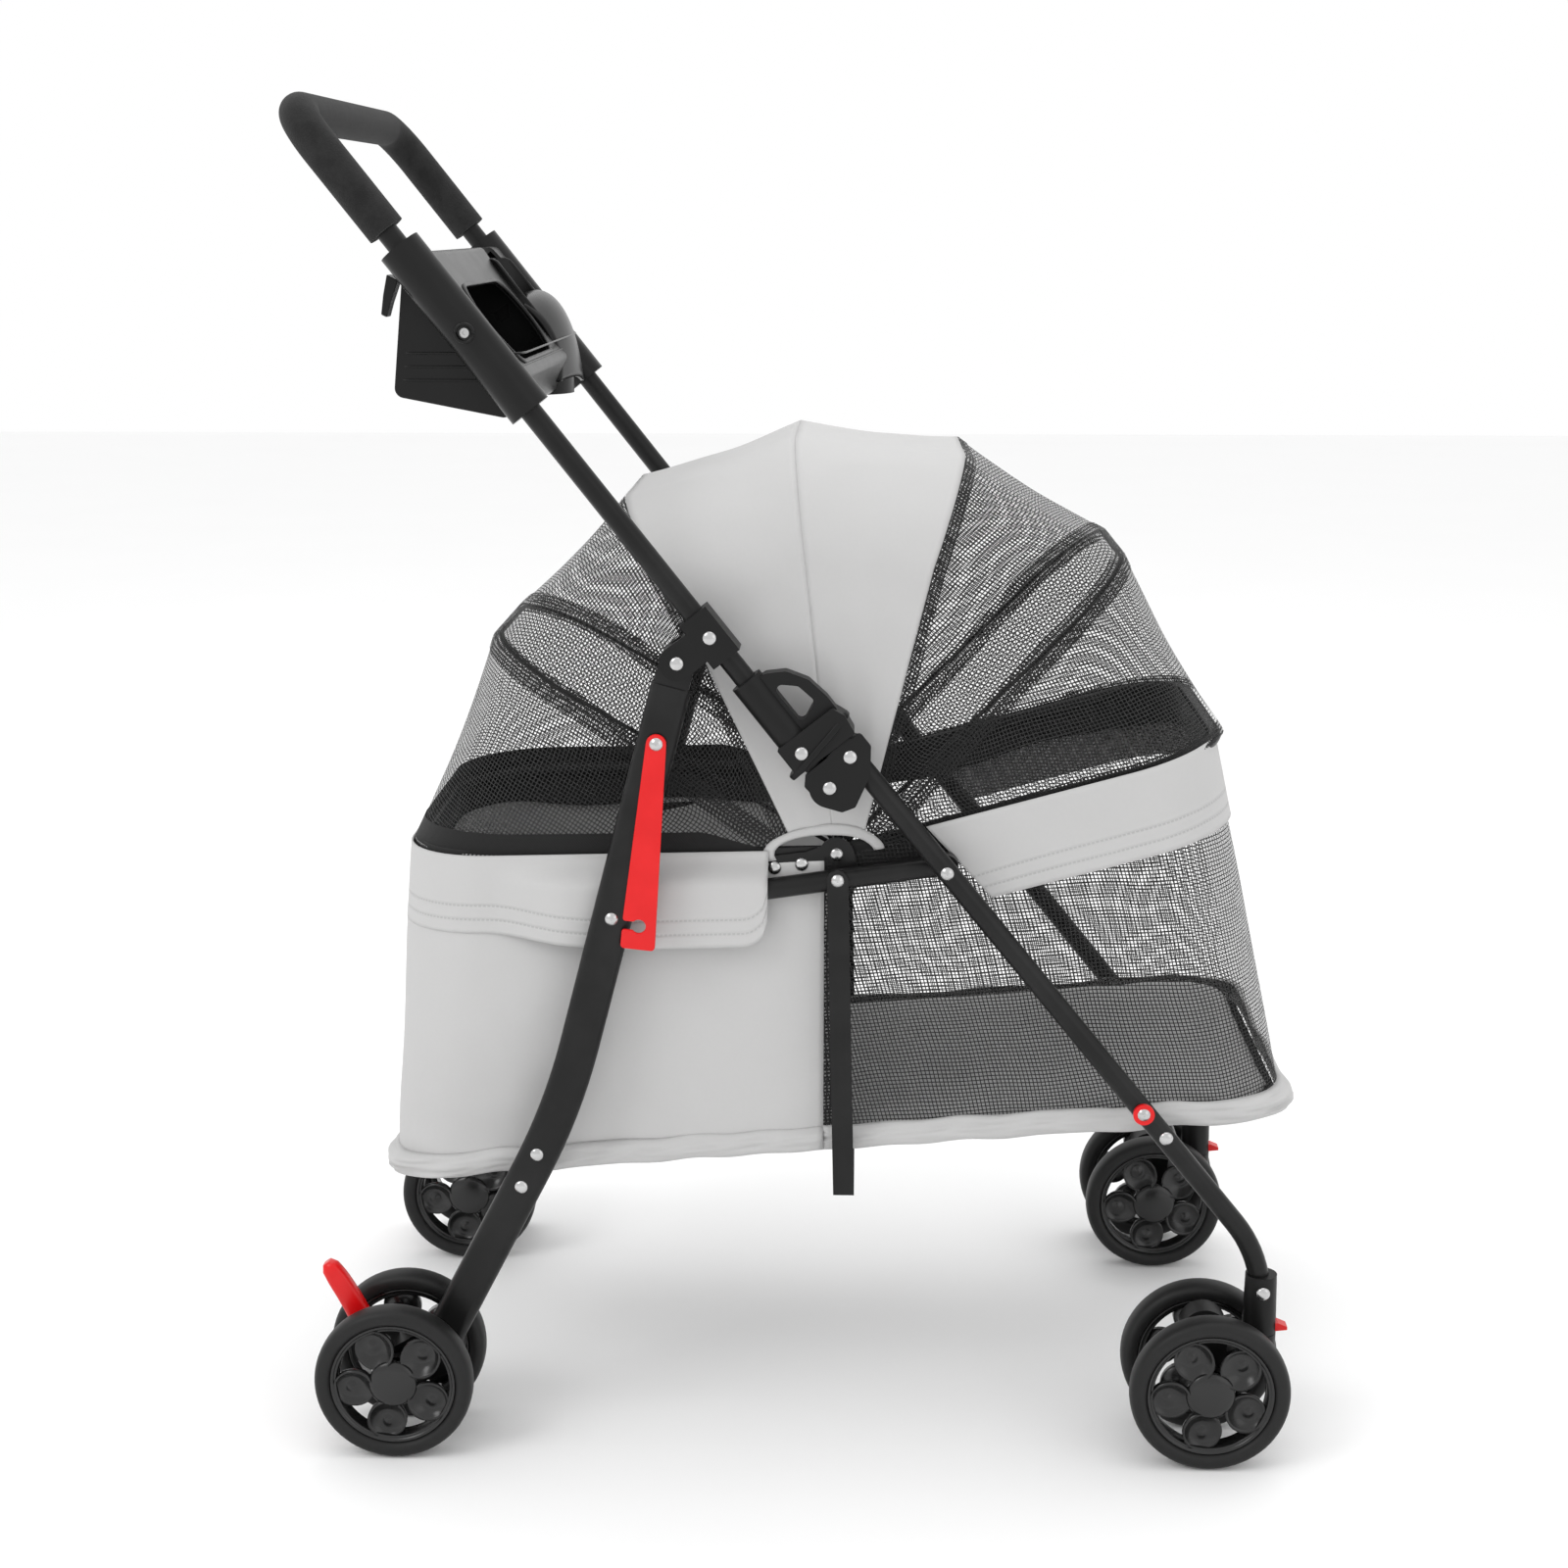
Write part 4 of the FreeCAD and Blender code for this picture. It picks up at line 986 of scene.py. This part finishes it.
# the basket's own bottom, under the pad
halves = [wallGrid(end, floorHeight, floorHeight, -0.0005, 2)[:1] for end in ("Rear", "Front")]
edgeRing = np.concatenate([halves[0][:, :-1], halves[1][:, ::-1][:, :-1]], axis=1)
middlePoint = edgeRing.mean(axis=1, keepdims=True)
baseGrid = np.concatenate([middlePoint + (edgeRing - middlePoint) * share for share in (0.0, 0.3, 0.6, 0.9, 1.0)])
place(weld(sheet("basketBottom", baseGrid, lining, loop=True)), "mesh_black", "seat_frame")

swell(floorPad, pad)
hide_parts("basket_floor")
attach(floorPad, "seat_frame")
print("pad made")

# ---- wheels
wheelSize = {
    "radius": 0.061,
    "half": 0.011,
    "rim": 0.0475,
    "petals": 5,
    "petal": 0.0150,
    "petalAt": 0.0305,
    "first": 100.0,
}
rimRing = [(0.0430, -0.006), (0.0435, 0.0060), (0.0442, 0.0072), (0.0450, 0.0062), (0.0457, 0.0072), (0.0470, 0.0084),
           (0.0484, 0.0080), (0.0484, -0.0080), (0.0470, -0.0084), (0.0435, -0.006)]
hubCap = [(0.0, -0.0108), (0.0100, -0.0108), (0.0105, -0.0100), (0.0105, 0.0030), (0.0178, 0.0030), (0.0187, 0.0038),
          (0.0187, 0.0068), (0.0178, 0.0082), (0.0150, 0.0094), (0.0100, 0.0103), (0.0050, 0.0107), (0.0, 0.0108)]


def petalGrid(centre, angle, outwards):
    # a dished round leaf: a polar grid whose height falls towards its middle and carries one
    # slanting crease, closed by a flat back
    size = wheelSize
    turn = np.linspace(0, 2 * math.pi, 28, endpoint=False)[None]
    share = np.concatenate([np.linspace(0, 1, 9), [1.0, 0.97, 0.0]])[:, None]
    crease = 0.0022 * np.sin(turn + 2.6 * share) * share
    hump = 0.0036 * np.exp(-((share * np.cos(turn) - 0.15) ** 2 + (share * np.sin(turn)) ** 2) / 0.10)
    front = 0.0006 + 0.0070 * share ** 2.4 + hump - crease
    height = np.where(np.arange(12)[:, None] < 9, front, [[0.0]] * 12)
    height[9:] = np.array([[0.0026], [0.0006], [0.0006]])
    tilt = math.radians(angle)
    outX, outZ = math.cos(tilt), math.sin(tilt)
    along = size["petal"] * share * np.cos(turn) * 1.06
    across = size["petal"] * share * np.sin(turn)
    x = centre[0] + (size["petalAt"] + along) * outX - across * outZ
    z = centre[2] + ((size["petalAt"] + along) * outZ + across * outX) * outwards
    y = centre[1] + outwards * height
    return np.stack([x, y, z], axis=-1)


for joint in record["behaviour"]["joints"]:
    if not joint["name"].endswith("_spin"):
        continue
    wheelName = joint["name"][:-5]
    centre = joint["pos_m"]
    outwards = (1 if centre[1] > 0 else -1) * (1 if "_outer_" in joint["name"] else -1)
    size = wheelSize
    section = rounded((size["rim"], -size["half"]), (size["radius"], size["half"]), 28, 2.7)
    tyrePiece = weld(sheet(wheelName + "Tyre", lathe(section, centre, outwards, 72), finishes["tyre_black"], loop=True))
    place(tyrePiece, "tyre_black", joint["child"], wheelName + "_tyre")
    grids = [lathe(rimRing, centre, outwards, 72), lathe(hubCap, centre, outwards, 40)]
    grids += [petalGrid(centre, size["first"] + 72 * k, outwards) for k in range(size["petals"])]
    rimPiece = weld(sheet(wheelName + "Rim", grids, finishes["rim_black"], loop=True))
    place(rimPiece, "rim_black", joint["child"], wheelName + "_rim")
print("wheels made")

# ---- domed rivet heads
rivetSize = {"radius": 0.0053, "height": 0.0026}


def sidePlace(x, z):
    return (rearAxleX + x * millimetre, z * millimetre)


def headGrid(point, face, half):
    # a dome on a face: radius times the sine and height times the cosine of a quarter turn
    turn = np.linspace(0, math.pi / 2, 7)
    dome = np.stack([rivetSize["radius"] * np.sin(turn), rivetSize["height"] * np.cos(turn)], axis=1)
    dome = np.concatenate([dome, [[rivetSize["radius"], -0.0006], [0.0, -0.0006]]])
    return lathe(dome, (point[0], half * face, point[1]), half, 20)


foldAt, hingeAt = jointAt["fold"], jointAt["leg_fold"]
handleLean = 128.25
clampRivet = stepFrom((hingeAt[0], hingeAt[2]), handleLean, 0.1406)
sleeveRivet = stepFrom((hingeAt[0], hingeAt[2]), handleLean, 0.033)
# body, distance of the face from the middle plane, places in the side view
heads = [
    ("handle", 0.1970, [(foldAt[0], foldAt[2]), clampRivet]),
    ("front_frame", 0.1965, [(hingeAt[0], hingeAt[2]), sidePlace(347.0, 548.7)]),
    ("front_frame", 0.1930, [sidePlace(586.7, 255.5)]),
    ("front_frame", 0.1978, [sidePlace(664.0, 132.6)]),
    ("rear_frame", 0.1925, [sidePlace(110.7, 236.5), sidePlace(98.1, 210.1)]),
    ("seat_frame", 0.1585, [sidePlace(311.0, 457.6), sidePlace(290.6, 454.7), (hubX, hubZ)]),
]
for count, (body, face, places) in enumerate(heads):
    grids = [headGrid(point, face, half) for point in places for half in (-1, 1)]
    right = [headGrid(point, face, -1) for point in places]
    left = [headGrid(point, face, 1) for point in places]
    headPiece = weld(sheet("rivetHeads" + str(count), right + left, finishes["steel"], loop=True))
    place(headPiece, "steel", body)
for sideName, half in (("right", -1), ("left", 1)):
    headPiece = weld(sheet("sleeveRivet_" + sideName, headGrid(sleeveRivet, 0.1980, half), finishes["steel"], loop=True))
    place(headPiece, "steel", "lock_sleeve_" + sideName)

# ---- collars on the lock sleeves, and the brake pedals
collar = {"low": (21.5, -19.0), "high": (35.0, 44.0), "sideways": 0.0150, "half": 0.0026}


def handleAt(along, aside=0.0):
    # millimetres along the handle from its hinge and aside from it, as a side-view point
    return stepFrom((hingeAt[0], hingeAt[2]), handleLean, along * millimetre, aside * millimetre)


for sideName, half in (("right", -1), ("left", 1)):
    lowEnd, highEnd = np.array(handleAt(*collar["low"])), np.array(handleAt(*collar["high"]))
    middle, span = (lowEnd + highEnd) / 2, (highEnd - lowEnd) / 2
    reach = np.linalg.norm(span)
    normal = np.array([-span[1], span[0]]) / reach
    share = np.linspace(-1, 1, 9)
    bulge = np.clip(1 - np.abs(share) ** 4, 0.0, 1) ** 0.25 * 0.10 + 0.90
    path = [(middle[0] + normal[0] * collar["half"] * k, half * 0.185, middle[1] + normal[1] * collar["half"] * k) for k in share]
    ring = swept(path, reach * bulge, collar["sideways"] * bulge, 36, 3.4)
    place(weld(sheet("sleeveCollar_" + sideName, ring, finishes["plastic_black"], loop=True)), "plastic_black",
          "lock_sleeve_" + sideName)

pedal = {"bend": (-33.0, 108.0), "tip": (-55.5, 143.0), "thick": (0.0070, 0.0088, 0.0082, 0.0062), "wide": 0.0065}
for sideName, half in (("right", -1), ("left", 1)):
    pivotAt = jointAt["brake_press_" + sideName]
    marks = np.array([(pivotAt[0], pivotAt[2]), sidePlace(*pedal["bend"]), sidePlace(*pedal["tip"])])
    share = np.linspace(0, 1, 18)[:, None]
    curve = (1 - share) ** 2 * marks[0] + 2 * share * (1 - share) * marks[1] + share ** 2 * marks[2]
    path = np.insert(curve, 1, half * 0.185, axis=1)
    thick = np.interp(share[:, 0], [0, 0.35, 0.8, 1.0], pedal["thick"])
    taper = np.sqrt(np.clip(1 - np.clip((share[:, 0] - 0.94) / 0.06, 0, 1) ** 2, 0.30, 1))
    bar = swept(path, thick * taper, pedal["wide"] * (0.6 + 0.4 * taper), 24, 3.2)
    place(weld(sheet("pedal_" + sideName, bar, finishes["red_plastic"], loop=True)), "red_plastic",
          "brake_pedal_" + sideName, "brake_pedal_" + sideName)

# ---- the tray's rims, ledges, cup arch and hanging tab
tray = {
    "deck": 11.4,                   # aside from the handle's axis
    "slotMiddle": 412.0,
    "slotRadius": 34.6,
    "slotEnds": (-0.128, 0.012),
    "bead": 0.0017,
    "cup": (74.0, 0.112, 38.8),
    "cupTop": 0.8975,
    "ledges": (0.8175, 0.8270, 0.8365),
    "archFar": ((64, 866), (92, 884), (112, 852), (117, 797)),
    "archNear": ((80, 862), (92, 852), (110, 834), (106, 801)),
    "archY": (0.068, 0.152),
}


def slotPath():
    # two half circles on the sloping deck, joined by straight runs
    turn = np.linspace(-math.pi / 2, math.pi / 2, 24)
    rows = []
    for end, sign in ((tray["slotEnds"][1], 1), (tray["slotEnds"][0], -1)):
        for angle in turn:
            along = tray["slotMiddle"] + sign * tray["slotRadius"] * math.sin(angle)
            x, z = handleAt(along, tray["deck"])
            rows.append((x, end + sign * tray["slotRadius"] * millimetre * math.cos(angle), z))
    return rows


def cupPath():
    # a circle seen from above, lifted to the deck's slope and cut off level at its rear
    turn = np.linspace(0, 2 * math.pi, 60, endpoint=False)
    x = rearAxleX + (tray["cup"][0] + tray["cup"][2] * np.cos(turn)) * millimetre
    y = tray["cup"][1] + tray["cup"][2] * millimetre * np.sin(turn)
    edge = np.array(handleAt(400, 14.2))
    z = edge[1] + (x - edge[0]) * math.tan(math.radians(handleLean))
    return np.stack([x, y, np.minimum(z, tray["cupTop"])], axis=1)


def ledgePath(z):
    # a nearly square superellipse round the tray's body, which widens with height
    rise = z - 0.806
    low = (rearAxleX + 0.0178 + 0.10 * rise, -0.1702)
    high = (rearAxleX + 0.1014 + 0.35 * rise, 0.1702)
    ring = rounded(low, high, 96, 16.0)[:-1]
    return np.stack([ring[:, 0], ring[:, 1], np.full(96, z)], axis=1)


def bezier(marks, share):
    # a cubic curve through the first and last of four marks, drawn by the two between
    marks = np.array([sidePlace(*mark) for mark in marks])
    weights = [(1 - share) ** 3, 3 * share * (1 - share) ** 2, 3 * share ** 2 * (1 - share), share ** 3]
    return sum(weight[:, None] * mark for weight, mark in zip(weights, marks))


place(piped("slotBead", slotPath(), tray["bead"], finishes["tray_black"], loop=True), "tray_black", "handle")
place(piped("cupBead", cupPath(), tray["bead"], finishes["tray_black"], loop=True), "tray_black", "handle")
for count, z in enumerate(tray["ledges"]):
    place(piped("trayLedge" + str(count), ledgePath(z), 0.0008, finishes["tray_black"], loop=True, around=8),
          "tray_black", "handle")
share = np.linspace(0, 1, 28)
farEdge, nearEdge = bezier(tray["archFar"], share), bezier(tray["archNear"], share)
rows = []
for level in np.linspace(0, 1, 10):
    crown = 0.004 * math.sin(math.pi * level)
    line = nearEdge * (1 - level) + farEdge * level
    y = tray["archY"][0] * (1 - level) + tray["archY"][1] * level
    rows.append(np.stack([line[:, 0] + crown, np.full(28, y), line[:, 1] + crown], axis=1))
archPiece = thicken(sheet("cupArch", np.stack(rows), finishes["tray_black"]), 0.0028)
place(archPiece, "tray_black", "handle")
for sideName, half in (("Right", -1), ("Left", 1)):
    x, z = handleAt(416.0)
    turn = np.linspace(0, 2 * math.pi, 32, endpoint=False)
    ring = np.stack([x + 0.0064 * np.cos(turn), np.full(32, half * 0.2008), z + 0.0064 * np.sin(turn)], axis=1)
    place(piped("screwRing" + sideName, ring, 0.0012, finishes["tray_black"], loop=True), "tray_black", "handle")
tabTop = handleAt(478.0, -21.0)
tab = [(tabTop[0] - 0.003, tabTop[1] + 0.004), (tabTop[0] + 0.005, tabTop[1]), (tabTop[0] - 0.001, tabTop[1] - 0.016),
       (tabTop[0] - 0.004, tabTop[1] - 0.026), (tabTop[0] - 0.008, tabTop[1] - 0.024), (tabTop[0] - 0.006, tabTop[1] - 0.010)]
place(cutOut("trayTab", tab, -0.176, -0.160, finishes["tray_black"]), "tray_black", "handle")

# ---- the latch: a tapered plate with a round notch that opens to its rear edge
latch = {"hang": 264.0, "top": 7.5, "low": 13.5, "length": 157.0, "notchAt": 139.0, "notch": 5.2, "mouth": 3.2, "corner": 3.0}
latchAt = jointAt["latch_swing"]
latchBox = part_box("fold_latch")


def arcPoints(centre, radius, first, last, steps):
    turn = np.radians(np.linspace(first, last, steps))
    return [(centre[0] + radius * math.cos(angle), centre[1] + radius * math.sin(angle)) for angle in turn]


def latchOutline():
    # aside is rearwards, down is along the plate: a half circle on top, straight edges that
    # widen, round lower corners, and three quarters of a circle for the notch
    size = latch
    edge = size["low"]
    rearEdge = edge - 1.2
    opening = math.degrees(math.asin(size["mouth"] / size["notch"]))
    points = arcPoints((0, 0), size["top"], 180, 360, 12)
    points += [(rearEdge, size["notchAt"] - 7.0)]
    points += arcPoints((rearEdge - 2.0, size["notchAt"] - 5.2), 2.0, 0, 90, 4)
    points += arcPoints((0, size["notchAt"]), size["notch"], -opening, -360 + opening, 16)
    points += arcPoints((rearEdge - 2.0, size["notchAt"] + 5.2), 2.0, -90, 0, 4)
    points += arcPoints((rearEdge - size["corner"], size["length"] - size["corner"]), size["corner"], 0, 90, 4)
    points += arcPoints((size["corner"] - edge, size["length"] - size["corner"]), size["corner"], 90, 180, 4)
    return points


outline = []
for aside, down in latchOutline():
    outline.append(stepFrom((latchAt[0], latchAt[2]), latch["hang"], down * millimetre, aside * millimetre))
latchPlate = cutOut("latchPlate", outline, latchBox[0][1], latchBox[1][1], finishes["red_plastic"], 0.0006)
place(latchPlate, "red_plastic", "fold_latch", "fold_latch")
print("fittings made")

# ---- room, lights and camera
floorMesh = bpy.data.meshes.new("studioFloor")
floorMesh.from_pydata([(-9, -9, 0), (9, -9, 0), (9, 9, 0), (-9, 9, 0)], [], [(0, 1, 2, 3)])
studioFloor = bpy.data.objects.new("studioFloor", floorMesh)
bpy.context.collection.objects.link(studioFloor)
floorFinish = Finish("paleFloor", Specular_IOR_Level=0.2)
floorMesh.materials.append(floorFinish.feed(
    Base_Color=floorFinish.mix(floorFinish.noise(3.0), grey(0.94), grey(0.96)),
    Roughness=floorFinish.noise(40.0) * 0.1 + 0.7,
))

studio = {
    "world": 1.0,
    "lamps": [   # name, place, aim, size, power
        ("keyLamp", (-2.2, -1.8, 2.6), (0, 0, 0.5), 1.4, 24),
        ("fillLamp", (2.4, -2.2, 1.4), (0, 0, 0.5), 2.2, 8),
        ("topLamp", (0.2, 0.5, 3.2), (0, 0, 0.4), 2.4, 26),
    ],
    "camera": (353.4, -1920.4, 928.8),
    "turn": 1.81,
    "dip": 13.07,
    "focal": 2476 / 1600 * 36,
}
world = bpy.data.worlds.new("studioWorld")
world.use_nodes = True
world.node_tree.nodes["Background"].inputs["Color"].default_value = (1, 1, 1, 1)
world.node_tree.nodes["Background"].inputs["Strength"].default_value = studio["world"]
bpy.context.scene.world = world
bpy.context.scene.view_settings.view_transform = "Standard"


def pointAt(thing, place, aim):
    thing.location = place
    thing.rotation_euler = (Vector(aim) - Vector(place)).to_track_quat("-Z", "Y").to_euler()


for name, place, aim, size, power in studio["lamps"]:
    lamp = bpy.data.lights.new(name, "AREA")
    lamp.size = size
    lamp.energy = power
    holder = bpy.data.objects.new(name, lamp)
    bpy.context.collection.objects.link(holder)
    pointAt(holder, place, aim)

lens = bpy.data.cameras.new("camera")
lens.lens = studio["focal"]
lens.sensor_width = 36
camera = bpy.data.objects.new("camera", lens)
bpy.context.collection.objects.link(camera)
camera.location = (rearAxleX + studio["camera"][0] * millimetre, studio["camera"][1] * millimetre,
                   studio["camera"][2] * millimetre)
camera.rotation_euler = (math.radians(90 - studio["dip"]), 0, math.radians(studio["turn"]))
bpy.context.scene.camera = camera
print("studio ready")
